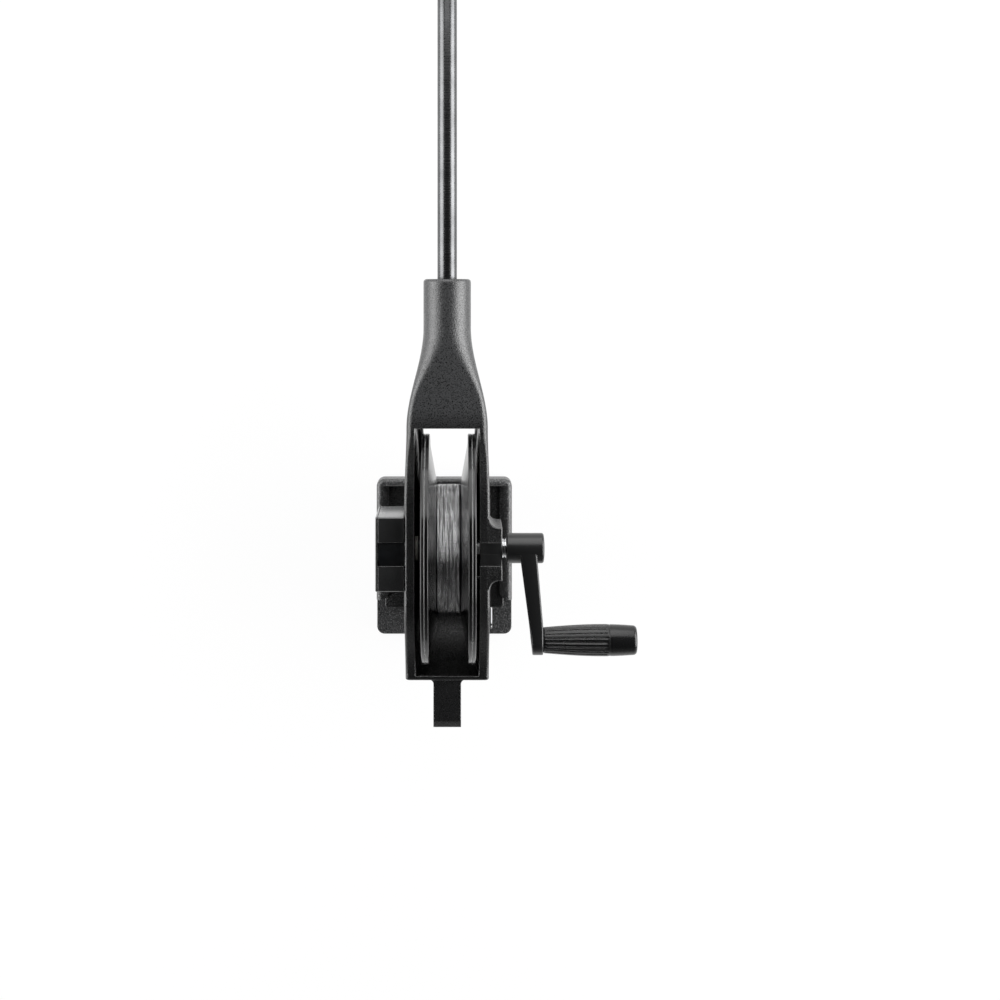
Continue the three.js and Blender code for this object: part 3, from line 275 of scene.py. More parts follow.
def skin(name, rings, origin=AXLE, looped=False, marks=None):
    """Rings of equally many points, each joined to the next; the ends are capped or joined."""
    rows, columns = rings.shape[:2]
    row = np.arange(rows if looped else rows - 1)[:, None]
    column = np.arange(columns)[None]
    across = (column + 1) % columns
    near, far = row * columns, (row + 1) % rows * columns
    quads = np.stack([near + column, near + across, far + across, far + column], -1)
    faces = quads.reshape(-1, 4).tolist()
    if not looped:
        faces.append(list(range(columns))[::-1])
        faces.append(list(range((rows - 1) * columns, rows * columns)))
    return solid(name, rings.reshape(-1, 3), faces, origin, marks)


ORDER = {"x": [2, 0, 1], "y": [1, 2, 0], "z": [0, 1, 2]}


def slab(name, points, low, high, axis="x", edge=0, top_edge=None, origin=AXLE, steps=3):
    """An outline carried along one axis, its end edges sharp or rounded to quarter circles.

    The outline's coordinates are (y, z) along x, (z, x) along y and (x, y) along z.
    """
    top_edge = edge if top_edge is None else top_edge
    angle = np.linspace(0, math.pi / 2, steps + 1)
    rings = []
    for radius, place, way in ((edge, low, 1), (top_edge, high, -1)):
        turns = angle if way > 0 else angle[::-1]
        if radius <= 0:
            turns = angle[-1:]
        for turn in turns:
            flat = inset(points, radius * (1 - math.sin(turn)))
            level = place + way * radius * (1 - math.cos(turn))
            rings.append(np.column_stack([flat, np.full(len(flat), level)])[:, ORDER[axis]])
    return skin(name, np.array(rings), origin)


def turned(name, profile, y=0.0, z=0.0, axis="x", segments=96, origin=AXLE):
    """Each point (along, r) of a closed profile goes round the axis at (along, r cos t, r sin t)."""
    t = np.arange(segments) * 2 * math.pi / segments
    along, radius = np.asarray(profile, float).T[:, :, None]
    rings = np.stack([along + 0 * t, radius * np.cos(t), radius * np.sin(t)], -1)
    if axis == "y":
        rings = rings[..., [1, 0, 2]]
    if axis == "z":
        rings = rings[..., [2, 1, 0]]
    centre = {"x": (0, y, z), "y": (y, 0, z), "z": (y, z, 0)}[axis]
    return skin(name, rings + np.array(centre, float), origin, looped=True)


def rod(name, radius, low, high, y=0.0, z=0.0, axis="x", edge=0, segments=48, origin=AXLE):
    """A round bar, its ends sharp or rounded by the edge's radius."""
    profile = outline(3, (low, 0), (high, 0), (high, radius, edge), (low, radius, edge))
    return turned(name, profile, y, z, axis, segments, origin)


def tube(name, path, radius, sides):
    """A round profile carried along a path, square to it, with a frame that turns as little as it can."""
    path = np.asarray(path, float)
    ahead = np.gradient(path, axis=0)
    ahead /= np.linalg.norm(ahead, axis=1, keepdims=True)
    side = np.cross(ahead, [1.0, 0.0, 0.0])
    side /= np.linalg.norm(side, axis=1, keepdims=True)
    up = np.cross(side, ahead)
    t = np.arange(sides) * 2 * math.pi / sides
    rings = path[:, None] + radius * (
        np.cos(t)[None, :, None] * side[:, None] + np.sin(t)[None, :, None] * up[:, None]
    )
    along = np.concatenate([[0], np.cumsum(np.linalg.norm(np.diff(path, axis=0), axis=1))])
    marks = np.stack(np.broadcast_arrays(along[:, None], t[None], along[:, None] * 0 + 1.0), -1)
    return skin(name, rings, marks=marks)


def combine(body, others, operation):
    """Joins the others to the body or cuts them from it, and keeps only the result."""
    for other in others:
        step = body.modifiers.new("combine", "BOOLEAN")
        step.operation = operation
        step.solver = "EXACT"
        step.object = other
    bpy.context.view_layer.update()
    graph = bpy.context.evaluated_depsgraph_get()
    mesh = bpy.data.meshes.new_from_object(body.evaluated_get(graph))
    body.modifiers.clear()
    body.data = mesh
    for other in others:
        bpy.data.objects.remove(other)
    return body


def cut(body, *tools):
    return combine(body, tools, "DIFFERENCE")


def join(body, *others):
    return combine(body, others, "UNION")


# ---- Shader groups


def link(tree, start, end):
    tree.links.new(start, end)


def group(name, inputs, outputs):
    """A shader group with named sockets; gives its tree and the two ends."""
    tree = bpy.data.node_groups.new(name, "ShaderNodeTree")
    for label, value in inputs.items():
        socket = tree.interface.new_socket(label, in_out="INPUT", socket_type="NodeSocketFloat")
        socket.default_value = value
    for label in outputs:
        tree.interface.new_socket(label, in_out="OUTPUT", socket_type="NodeSocketFloat")
    return tree, tree.nodes.new("NodeGroupInput"), tree.nodes.new("NodeGroupOutput")


def add(tree, kind, **values):
    node = tree.nodes.new(kind)
    for key, value in values.items():
        setattr(node, key, value)
    return node


def object_place(tree):
    """The place on the object, in metres."""
    return add(tree, "ShaderNodeTexCoord").outputs["Object"]


def parts_of(tree, vector):
    """The vector's X, Y and Z, each on a socket."""
    split = add(tree, "ShaderNodeSeparateXYZ")
    link(tree, vector, split.inputs[0])
    return split.outputs


def maths(tree, operation, a, b=None, clamp=False):
    """One arithmetic step on sockets or numbers."""
    node = add(tree, "ShaderNodeMath", operation=operation, use_clamp=clamp)
    for socket, value in zip(node.inputs, (a, b)):
        if value is None:
            continue
        if isinstance(value, (int, float)):
            socket.default_value = value
        else:
            link(tree, value, socket)
    return node.outputs[0]


def noise(tree, where, scale, detail=2.0, rough=0.5, space="3D"):
    """Noise over a place, or along a line where the space is 1D."""
    node = add(tree, "ShaderNodeTexNoise", noise_dimensions=space)
    link(tree, where, node.inputs["W" if space == "1D" else "Vector"])
    node.inputs["Detail"].default_value = detail
    node.inputs["Roughness"].default_value = rough
    if isinstance(scale, (int, float)):
        node.inputs["Scale"].default_value = scale
    else:
        link(tree, scale, node.inputs["Scale"])
    return node.outputs["Fac"]


def spread(tree, value, low, high, to_low=0.0, to_high=1.0):
    """Stretches a range of values over another one."""
    node = add(tree, "ShaderNodeMapRange")
    link(tree, value, node.inputs["Value"])
    for label, number in zip(("From Min", "From Max", "To Min", "To Max"), (low, high, to_low, to_high)):
        node.inputs[label].default_value = number
    return node.outputs["Result"]


def moulded_grain():
    """Eroded mould skin: fine grain with pits, a height, and a mask of painted glints, specks of painted
    highlight for the colour.
    """
    tree, start, end = group("moulded grain", {"Grain per metre": 900.0}, ("Height", "Painted glints", "Mottle"))
    where = object_place(tree)
    scale = start.outputs["Grain per metre"]
    coarse = noise(tree, where, scale, 3.0, 0.62)
    cells = add(tree, "ShaderNodeTexVoronoi", feature="F1")
    link(tree, where, cells.inputs["Vector"])
    link(tree, maths(tree, "MULTIPLY", scale, 1.9), cells.inputs["Scale"])
    pits = spread(tree, cells.outputs["Distance"], 0.1, 0.6)
    height = maths(tree, "ADD", maths(tree, "MULTIPLY", coarse, 0.6), maths(tree, "MULTIPLY", pits, 0.4))
    link(tree, height, end.inputs["Height"])
    # painted glints: a sparse mask of specks that the plastics paint lighter, as painted highlight
    glints = spread(tree, noise(tree, where, maths(tree, "MULTIPLY", scale, 2.3), 1.0), 0.56, 0.66)
    link(tree, glints, end.inputs["Painted glints"])
    link(tree, spread(tree, noise(tree, where, 38.0, 4.0, 0.6), 0.3, 0.7), end.inputs["Mottle"])
    return tree


def edge_mask():
    """A mask for painted edge highlight, partly edge wear: high where the surface turns sharply, from the
    rounded normal set against the true one.
    """
    tree, start, end = group("edge sheen and wear", {"Edge radius": 0.0006}, ("Edge",))
    soft = add(tree, "ShaderNodeBevel", samples=4)
    link(tree, start.outputs["Edge radius"], soft.inputs["Radius"])
    dot = add(tree, "ShaderNodeVectorMath", operation="DOT_PRODUCT")
    link(tree, soft.outputs["Normal"], dot.inputs[0])
    link(tree, add(tree, "ShaderNodeNewGeometry").outputs["Normal"], dot.inputs[1])
    link(tree, spread(tree, dot.outputs["Value"], 0.999, 0.93), end.inputs["Edge"])
    return tree


def brushed_lines():
    """Fine lines round the x or y axis: noise stretched hard along the axis."""
    tree, start, end = group("turning lines", {"Lines per metre": 2600.0, "Along x": 1.0}, ("Height",))
    where = parts_of(tree, object_place(tree))
    along_x = start.outputs["Along x"]
    along_y = maths(tree, "SUBTRACT", 1.0, along_x)
    share_x = maths(tree, "MULTIPLY", where["X"], along_x)
    share_y = maths(tree, "MULTIPLY", where["Y"], along_y)
    line = noise(tree, maths(tree, "ADD", share_x, share_y), start.outputs["Lines per metre"], space="1D")
    link(tree, line, end.inputs["Height"])
    return tree


GRAIN = moulded_grain()
EDGES = edge_mask()
LINES = brushed_lines()

# ---- Finishes


def placed(tree, which, **values):
    """One of the groups in a material, with its own values."""
    node = add(tree, "ShaderNodeGroup", node_tree=which)
    for label, value in values.items():
        node.inputs[label.replace("_", " ")].default_value = value
    return node


def surface(name, **values):
    """A material with one Principled shader, its plain values set on the shader's own sockets."""
    made = bpy.data.materials.new(name)
    made.use_nodes = True
    tree = made.node_tree
    shader = tree.nodes["Principled BSDF"]
    for label, value in values.items():
        shader.inputs[label.replace("_", " ")].default_value = value
    return made, tree, shader


def two_tones(tree, mask, dark, light):
    """Blends two colours, or a socket and a colour, by a mask."""
    node = add(tree, "ShaderNodeMix", data_type="RGBA")
    link(tree, mask, node.inputs["Factor"])
    for label, tone in (("A", dark), ("B", light)):
        if isinstance(tone, tuple):
            node.inputs[label].default_value = (*tone, 1)
        else:
            link(tree, tone, node.inputs[label])
    return node.outputs["Result"]


def paint(tree, shader, mask, dark, light):
    link(tree, two_tones(tree, mask, dark, light), shader.inputs["Base Color"])


def bumped(tree, shader, height, depth, radius=0.0005):
    """The shader's normal: edges softened over the radius, then the height laid on."""
    soft = add(tree, "ShaderNodeBevel", samples=4)
    soft.inputs["Radius"].default_value = radius
    bump = add(tree, "ShaderNodeBump")
    bump.inputs["Distance"].default_value = depth
    bump.inputs["Strength"].default_value = 1.0
    link(tree, height, bump.inputs["Height"])
    link(tree, soft.outputs["Normal"], bump.inputs["Normal"])
    link(tree, bump.outputs["Normal"], shader.inputs["Normal"])


def plastic(
    name, dark, light, rough, grain=900.0, depth=0.00006, glint_share=0.5, edge=0.0006, sheen_and_wear_tone=0.2, painted_light_band=None,
    stipple=0.0, **more
):
    """Moulded plastic: mottled colour, grain in the skin, specks of painted glint, and edges polished by
    handling and painted lighter, partly wear and partly painted highlight.

    The painted light band gives the two y between which painted light lightens the colour, with a speckle
    from the grain, and by what share. Stipple is the share by which the grain changes the roughness.
    """
    made, tree, shader = surface(name, **{"Specular_IOR_Level": 0.8, **more})
    skin_grain = placed(tree, GRAIN, Grain_per_metre=grain).outputs
    wear_and_sheen = placed(tree, EDGES, Edge_radius=edge).outputs["Edge"]
    # painted glints: specks of painted highlight lighten the colour
    painted_glint = maths(tree, "MULTIPLY", skin_grain["Painted glints"], glint_share)
    shade = maths(tree, "ADD", maths(tree, "MULTIPLY", skin_grain["Mottle"], 0.06), painted_glint, clamp=True)
    # painted light: between the two y the colour is lightened towards the light tone, with a speckle from
    # the grain, where the front light falls
    if painted_light_band:
        painted_light = spread(tree, parts_of(tree, object_place(tree))["Y"], painted_light_band[0], painted_light_band[1], 0.0, painted_light_band[2])
        painted_light_speckle = spread(tree, skin_grain["Height"], 0.46, 0.60, 0.0, 2.6)
        shade = maths(tree, "ADD", shade, maths(tree, "MULTIPLY", painted_light, painted_light_speckle), clamp=True)
    # painted edge highlight, partly wear: sharp edges take the lighter edge tone
    paint(tree, shader, wear_and_sheen, two_tones(tree, shade, dark, light), (sheen_and_wear_tone, sheen_and_wear_tone, sheen_and_wear_tone))
    ground = spread(tree, skin_grain["Mottle"], 0.0, 1.0, rough * 1.08, rough * 0.92)
    if stipple:
        share = spread(tree, skin_grain["Height"], 0.42, 0.62, 1 - stipple, 1 + stipple)
        ground = maths(tree, "MULTIPLY", ground, share)
    polish = maths(tree, "MULTIPLY", wear_and_sheen, rough * 0.3)
    link(tree, maths(tree, "SUBTRACT", ground, polish), shader.inputs["Roughness"])
    bumped(tree, shader, skin_grain["Height"], depth, edge)
    return made


def metal(name, dark, light, rough, lines=2600.0, along_x=1.0):
    """Turned or drawn metal: fine lines round it, with a slow change of tone."""
    made, tree, shader = surface(name, Metallic=1.0)
    turning = placed(tree, LINES, Lines_per_metre=lines, Along_x=along_x).outputs["Height"]
    paint(tree, shader, spread(tree, noise(tree, object_place(tree), 45.0, 3.0), 0.3, 0.7), dark, light)
    link(tree, spread(tree, turning, 0.3, 0.7, rough * 0.8, rough * 1.25), shader.inputs["Roughness"])
    bumped(tree, shader, turning, 0.000004, 0.0003)
    return made


def strand_cable():
    """Twisted wire: slanted strands worked from the tube's own length and turn, and streaks along it."""
    lay, strands = 3.2, 6.0
    made, tree, shader = surface("stranded cable", Metallic=1.0)
    chart = parts_of(tree, add(tree, "ShaderNodeAttribute", attribute_name="wire").outputs["Vector"])
    slant = maths(tree, "ADD", maths(tree, "MULTIPLY", chart["X"], 2 * math.pi / lay), chart["Y"])
    wave = maths(tree, "SINE", maths(tree, "MULTIPLY", slant, strands))
    tone = spread(tree, noise(tree, chart["X"], 0.015, 3.0, 0.6, "1D"), 0.38, 0.54)
    paint(tree, shader, tone, (0.36, 0.36, 0.363), (0.99, 0.99, 0.995))
    link(tree, spread(tree, wave, -1.0, 1.0, 0.27, 0.19), shader.inputs["Roughness"])
    bump = add(tree, "ShaderNodeBump")
    bump.inputs["Distance"].default_value = 0.00005
    link(tree, wave, bump.inputs["Height"])
    link(tree, bump.outputs["Normal"], shader.inputs["Normal"])
    return made


def cable_bed():
    """The layers beneath: close rings of wire, as bump and tone round the axis."""
    made, tree, shader = surface("cable bed", Metallic=1.0)
    lines = placed(tree, LINES, Lines_per_metre=1050.0, Along_x=1.0).outputs["Height"]
    paint(tree, shader, spread(tree, lines, 0.35, 0.65), (0.04, 0.04, 0.042), (0.30, 0.30, 0.31))
    link(tree, spread(tree, lines, 0.3, 0.7, 0.5, 0.35), shader.inputs["Roughness"])
    bumped(tree, shader, lines, 0.0002, 0.0002)
    return made


def smoked_lens():
    """Dark clear plastic with a faint haze in it."""
    made, tree, shader = surface(
        "smoked lens", Roughness=0.05, IOR=1.49, Transmission_Weight=0.55,
        Coat_Weight=0.3, Coat_Roughness=0.03,
    )
    haze = spread(tree, noise(tree, object_place(tree), 160.0, 3.0), 0.3, 0.7)
    paint(tree, shader, haze, (0.010, 0.011, 0.012), (0.020, 0.021, 0.023))
    return made


FINISH = {
    # painted light on the frame's neck: the colour lightens from y 0.142 to 0.165 m towards the boom; the
    # edge tone is painted edge highlight, partly wear
    "filled_nylon": plastic(
        "filled nylon", (0.0010, 0.0010, 0.0011), (0.100, 0.102, 0.105), 0.24, 520.0, 0.00030, 0.06,
        edge=0.0012, sheen_and_wear_tone=0.16, painted_light_band=(0.142, 0.165, 0.13), stipple=0.35,
    ),
    # painted glints: a large share of specks of painted highlight lightens the base's colour
    "base_nylon": plastic(
        "base nylon", (0.014, 0.0142, 0.0145), (0.20, 0.202, 0.205), 0.30, 430.0, 0.00042, 0.8,
        edge=0.0012, stipple=0.3,
    ),
    "smooth_nylon": plastic(
        "smooth nylon", (0.0066, 0.0068, 0.007), (0.033, 0.034, 0.035), 0.32, 1900.0, 0.000012, 0.06,
        Specular_IOR_Level=0.65,
    ),
    # painted light on the counter's front wall: its colour is lightened past y 0.0618 m, where the front
    # light falls
    "satin_case": plastic(
        "satin case", (0.009, 0.0092, 0.0094), (0.20, 0.202, 0.205), 0.22, 1400.0, 0.000008, 0.03,
        painted_light_band=(0.0618, 0.0630, 0.55),
    ),
    # painted edge highlight, partly wear, on the flange rims: a strong lighter edge tone
    "gloss_black": plastic(
        "gloss black", (0.0016, 0.0016, 0.0017), (0.010, 0.010, 0.0107), 0.16, 300.0, 0.000004, 0.0,
        sheen_and_wear_tone=0.4, Specular_IOR_Level=0.5,
    ),
    "grip_rubber": plastic(
        "grip", (0.0026, 0.0027, 0.0029), (0.012, 0.0122, 0.0125), 0.27, 2200.0, 0.00001, 0.05,
        Specular_IOR_Level=0.55,
    ),
    "friction_fibre": plastic(
        "friction fibre", (0.05, 0.033, 0.02), (0.17, 0.12, 0.08), 0.85, 1500.0, 0.00008, 0.5
    ),
    "acetal": plastic("acetal", (0.62, 0.60, 0.55), (0.74, 0.72, 0.67), 0.42, 1200.0, 0.000006, 0.0),
    "digit_black": plastic(
        "number wheel", (0.007, 0.007, 0.0075), (0.02, 0.02, 0.021), 0.4, 1500.0, 0.000008, 0.0
    ),
    "digits": plastic(
        "white digits", (0.55, 0.55, 0.54), (0.78, 0.78, 0.76), 0.5, 1500.0, 0.000005, 0.0
    ),
    "black_oxide": metal("black oxide steel", (0.045, 0.045, 0.047), (0.09, 0.09, 0.092), 0.38),
    "tube_steel": metal("boom tube", (0.100, 0.101, 0.103), (0.14, 0.142, 0.145), 0.27, 1400.0, 0.0),
    "bright_steel": metal("bright steel", (0.55, 0.555, 0.56), (0.72, 0.725, 0.73), 0.2),
    "bronze": metal("bronze", (0.38, 0.24, 0.09), (0.55, 0.38, 0.17), 0.3),
    "cable_steel": strand_cable(),
    "cable_bed": cable_bed(),
    "lens_smoke": smoked_lens(),
}


def put(made, body, slot, *nodes, finish=None, sharp=32):
    """Shades the piece smooth but for its sharp edges, paints it and sets it on its body."""
    made.data.materials.clear()
    made.data.materials.append(FINISH[finish or slot])
    made.data.polygons.foreach_set("material_index", np.zeros(len(made.data.polygons), np.int32))
    made.data.polygons.foreach_set("use_smooth", np.ones(len(made.data.polygons), bool))
    made.data.set_sharp_from_angle(angle=math.radians(sharp))
    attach(made, body)
    if nodes:
        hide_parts(*nodes)


# ---- Frame


def smooth(t):
    """0 to 1 with soft ends."""
    t = np.clip(t, 0, 1)
    return t * t * (3 - 2 * t)


def blend(a, b, t):
    return a + (b - a) * smooth(t)


def sections(stations, steps=8):
    """One round-cornered rectangle at each station (y, half width, low, high, corner radius)."""
    y, half, low, high, radius = np.asarray(stations, float).T[:, :, None]
    angle = np.concatenate([np.linspace(q, q + 1, steps + 1) for q in range(4)]) * math.pi / 2
    quarter = np.repeat(np.arange(4), steps + 1)
    right = np.where((quarter == 0) | (quarter == 3), 1, -1)
    x = right * (half - radius) + radius * np.cos(angle)
    z = np.where(quarter < 2, high - radius, low + radius) + radius * np.sin(angle)
    return np.stack([x, np.broadcast_to(y, x.shape), z], -1)


def gusset_curve():
    """The side plates' lower front edge, from the neck's root to the foot, as (y, z)."""
    return bend((CROSSBAR + RIM_ROUND, -NECK_ROOT_DROP), (CROSSBAR - 8, -88), (FOOT_FRONT, LEG_TOP), 26)


def frame_stations():
    """Follows the frame from the neck's tip over the crossbar and arms to the rear wall."""
    shoulder = NECK_TIP - NECK_PARALLEL
    high_neck, low_neck = BOOM_RISE + NECK_R, BOOM_RISE - NECK_R
    rows = []
    for turn in np.linspace(0, math.pi / 2, 7)[:-1]:
        inward = NECK_EDGE * (1 - math.sin(turn))
        y = NECK_TIP - NECK_EDGE * (1 - math.cos(turn))
        rows.append((y, NECK_R - inward, low_neck + inward, high_neck - inward, NECK_R - inward))
    for y in np.linspace(NECK_TIP - NECK_EDGE, CROSSBAR + RIM_ROUND, 70):
        t = (shoulder - y) / (shoulder - CROSSBAR)
        half = blend(NECK_R, RING_FRONT_HALF, t)
        low = blend(low_neck, -NECK_ROOT_DROP, t)
        radius = blend(NECK_R, 2 * RIM_ROUND, 1.35 * t)
        rows.append((y, half, low, high_neck, min(radius, half, (high_neck - low) / 2)))
    guard = bend((FOOT_REAR, FOOT_TOP), (-REAR, FOOT_TOP + GUARD_TURN / 2), (-REAR, -GUARD_TURN), 26)
    lows = gusset_curve()[1:].tolist()
    lows += [(y, FOOT_BOTTOM) for y in np.linspace(FOOT_FRONT - 0.05, FOOT_REAR, 34)]
    lows += [(y - 0.05, z) for y, z in guard if y > -REAR + 2.3]
    for y, low in lows:
        if y > 0:
            t = (y - TOP_FLAT) / (CROSSBAR - TOP_FLAT)
            half, high = blend(RING_HALF, RING_FRONT_HALF, t), blend(RING_TOP, high_neck, t)
        else:
            t = (-TOP_FLAT - y) / (REAR - TOP_FLAT)
            half, high = blend(RING_HALF, RING_REAR_HALF, t), blend(RING_TOP, REAR_TOP, t)
        radius = RIM_ROUND + RIM_ROUND * smooth((y - CROSSBAR + 30) / 30)
        rows.append((y, half, low, high, radius))
    for turn in np.linspace(math.pi / 2, 0.05, 6):
        inward = 2.0 * (1 - math.sin(turn))
        y = -REAR + 2.0 * (1 - math.cos(turn))
        low = np.interp(-y, -guard[:, 0], guard[:, 1])
        rows.append((y, RING_REAR_HALF - inward, low, REAR_TOP - inward, RIM_ROUND))
    return rows


def tail_tongue():
    """The tongue behind the rear wall: its plan cut by its side view."""
    fillet = 4.0
    inside = -REAR + 1.5
    plan = np.concatenate([
        [(TAIL_HALF, -TAIL_END)],
        arc((TAIL_HALF + fillet, -REAR - fillet), fillet, 180, 90, 6),
        [(TAIL_HALF + fillet, inside), (-TAIL_HALF - fillet, inside)],
        arc((-TAIL_HALF - fillet, -REAR - fillet), fillet, 90, 0, 6),
        [(-TAIL_HALF, -TAIL_END)],
    ])
    top = REAR_TOP - RIM_ROUND
    side = outline(
        5, (inside, top), (-TAIL_END + 7, top, 3), (-TAIL_END, top - 4, 1.2), (-TAIL_END, top - 10, 1.2),
        (-REAR - 7, top - 10, 6), (inside, -GUARD_TURN),
    )
    tongue = slab("tail", plan, -60, 60, "z")
    return combine(tongue, [slab("tail side", side, -60, 60)], "INTERSECT")


def crank_boss():
    """The raised pad round the bearing: a filleted plan cut to a tombstone side view."""
    reach = BOSS_HALF + BOSS_FILLET
    wall, corner = RING_HALF - 0.1, RING_HALF + BOSS_FILLET
    plan = np.concatenate([
        [(BAY_HALF + 3, -BOSS_ROOT), (BAY_HALF + 3, BOSS_ROOT), (wall, BOSS_ROOT)],
        arc((corner, reach), BOSS_FILLET, 186, 270, 8),
        [(BOSS_OUT, BOSS_HALF), (BOSS_OUT, -BOSS_HALF)],
        arc((corner, -reach), BOSS_FILLET, 90, 174, 8),
        [(wall, -BOSS_ROOT)],
    ])
    side = np.concatenate([[(reach, RING_TOP), (-reach, RING_TOP)], arc((0, 0), reach, 180, 360, 48)])
    pad = slab("boss", plan, -60, RING_TOP - 0.12, "z", top_edge=1.2)
    return combine(pad, [slab("boss side", side, BAY_HALF, BOSS_OUT + 5)], "INTERSECT")


def spool_bay():
    """What the bay cuts away: its side view, cut by a front view whose walls lean inward below."""
    side = np.concatenate([
        [(CROSSBAR, 90), (-BAY_REAR, 90)],
        bend(
            (-BAY_REAR, -GUARD_TURN), (-BAY_REAR, FOOT_TOP + GUARD_TURN / 2),
            (FOOT_REAR + REAR - BAY_REAR, FOOT_TOP), 24,
        ),
        [(FOOT_FRONT + OVER, FOOT_TOP), (FOOT_FRONT + OVER, -140), (CROSSBAR, -140)],
    ])
    half = [(90, BAY_HALF), (RING_TOP, BAY_HALF), (FOOT_TOP, BAY_LOW_HALF), (-145, BAY_LOW_HALF)]
    front = np.array(half + [(z, -x) for z, x in half[::-1]])
    leaning = slab("bay front", front, -140, CROSSBAR + OVER, "y")
    return combine(slab("bay", side, -40, 40), [leaning], "INTERSECT")


def yoke_frame():
    """The one big moulding: a loft along the boom's line, with its foot, tongue and boss added."""
    body = skin("yoke_frame", sections(frame_stations()))
    foot = rectangle(FOOT_HALF, (FOOT_FRONT - FOOT_REAR) / 2, 3) + [-AXLE[0], (FOOT_FRONT + FOOT_REAR) / 2]
    join(body, slab("foot", foot, FOOT_BOTTOM, FOOT_TOP, "z", edge=0.6))
    join(body, tail_tongue())
    join(body, crank_boss())
    cut(body, spool_bay())
    slot = np.concatenate([[(SLOT_HALF, 90), (-SLOT_HALF, 90)], arc((0, 0), SLOT_HALF, 180, 360, 24)])
    cut(body, slab("slot", slot, BAY_LOW_HALF, BOSS_OUT + OVER))
    cut(body, rod("bush hole", BUSH_HOLE_R, -RING_HALF - OVER, -BAY_LOW_HALF))
    cut(body, rod("bush seat", BUSH_SEAT_R, -BAY_HALF, -BAY_LOW_HALF, segments=64))
    low, high = BOOM_START - FIT, NECK_TIP + OVER
    cut(body, rod("socket", BOOM_R + FIT, low, high, 0, BOOM_RISE, "y", segments=64))
    cut(body, rod("screw hole", BOOM_SCREW_R, -40, -10.0, 0, BOOM_SCREW_Y, "z"))
    gusset = gusset_curve()
    ahead = np.gradient(gusset, axis=0)
    inward = np.stack([ahead[:, 1], -ahead[:, 0]], 1) / np.linalg.norm(ahead, axis=1, keepdims=True)
    strip = np.concatenate([gusset + 0.4 * inward, (gusset + LIP_DEPTH * inward)[::-1]])
    for wall, reach in ((-1, LIP_LEFT), (1, LIP_RIGHT)):
        low, high = sorted((wall * reach, wall * (BAY_HALF + 1.5)))
        join(body, slab("lip", strip, low, high, edge=0.8))
    for start, end in POCKETS:
        far, near = arc((0, 0), POCKET_FAR, start, end, 16), arc((0, 0), POCKET_NEAR, end, start, 10)
        sector = np.concatenate([far, near])
        cut(body, slab("pocket", sector, RING_HALF - POCKET_DEPTH, RING_HALF + OVER))
        cut(body, slab("pocket", sector, -RING_HALF - OVER, -RING_HALF + POCKET_DEPTH))
    put(body, "frame", "filled_nylon", "main_frame")


# ---- Base and latch


def mount_plate():
    """A rounded block whose channel, rear mouths, window and bolt holes are cut out of it."""
    body = slab(
        "mount_plate", rectangle(BASE_HALF_X, BASE_HALF_Y, 8, 8), 0, RAIL_TOP, "z", edge=0.6,
        top_edge=RAIL_ROUND, origin=DECK, steps=6,
    )
    crest = bend((RAIL_TOP, RAIL_IN), (RAIL_TOP, 63.9), (23.6, 61.8), 8).tolist()
    half = [(29.0, RAIL_IN)] + crest + [(19.9, 57.8), (17.3, 57.8), (17.3, 63.0), (BASE_FLOOR, 63.0)]
    corners = [0] * 10 + [0.8, 0.6, 0.3, 0.8]
    channel = rounded(half + [(z, -x) for z, x in half[::-1]], corners + corners[::-1], 4)
    cut(body, slab("channel", channel, -150, BASE_HALF_Y - BASE_FRONT_WALL, "y", origin=DECK))
    for side in (-1, 1):
        mouth = np.concatenate([
            [(50, -95), (85, -95), (85, RAIL_REAR), (66, RAIL_REAR)],
            arc((66, RAIL_REAR + 8), 8, 270, 180, 8),
            [(50, RAIL_REAR + 8)],
        ]) * [side, 1]
        cut(body, slab("mouth", mouth, BASE_FLOOR, 40, "z", origin=DECK))
    left, right = WINDOW_X - WINDOW_HALF, WINDOW_X + WINDOW_HALF
    window = [(right, WINDOW_REAR), (right, WINDOW_FRONT), (left, WINDOW_FRONT), (left, WINDOW_REAR)]
    cut(body, slab("window", rounded(window, 1.0, 3), -5, 40, "z", origin=DECK))
    hole, head = 3.5, 6.8
    sink = [(-5, 0), (5.7, 0), (20, 0), (20, head), (BASE_FLOOR, head), (5.7, hole), (-5, hole)]
    for x, y in DECK_BOLTS:
        cut(body, turned("bolt hole", sink, x, y, "z", 32, DECK))
    put(body, "frame", "filled_nylon", "mount_base", finish="base_nylon")


def latch_lever():
    """A plate across the window, with a raised nose in front and a notched barrel round the pin."""
    left, right = WINDOW_X - LATCH_HALF, WINDOW_X + LATCH_HALF
    pin = LATCH_PIN_Y, LATCH_PIN_Z
    plate = outline(
        6, (right, LATCH_PIN_Y), (right, LATCH_FRONT, 2), (left, LATCH_FRONT, 2), (left, LATCH_PIN_Y)
    )
    body = slab("latch_lever", plate, 3.4, 6.6, "z", edge=0.5, top_edge=0.8, origin=DECK)
    nose = outline(
        4, (LATCH_FRONT - 6.6, 3.6), (LATCH_FRONT, 3.6), (LATCH_FRONT, 12.4, 1),
        (LATCH_FRONT - 3.6, 12.4, 1.5),
    )
    join(body, slab("nose", nose, WINDOW_X - 22, WINDOW_X + 22, edge=0.8, origin=DECK))
    join(body, rod("barrel", 3.4, left, right, *pin, edge=0.4, origin=DECK))
    cut(body, rod("pin hole", LATCH_PIN_R, -80, 80, *pin, segments=32, origin=DECK))
    rear, front = LATCH_PIN_Y - 9, LATCH_PIN_Y + 4.4
    notch = np.array([(rear, -5), (front, -5), (front, 20), (rear, 20)])
    cut(body, slab("notch", notch, WINDOW_X - 6, WINDOW_X + 6, origin=DECK))
    put(body, "latch", "smooth_nylon", "latch_lever")


# ---- Spool and cable


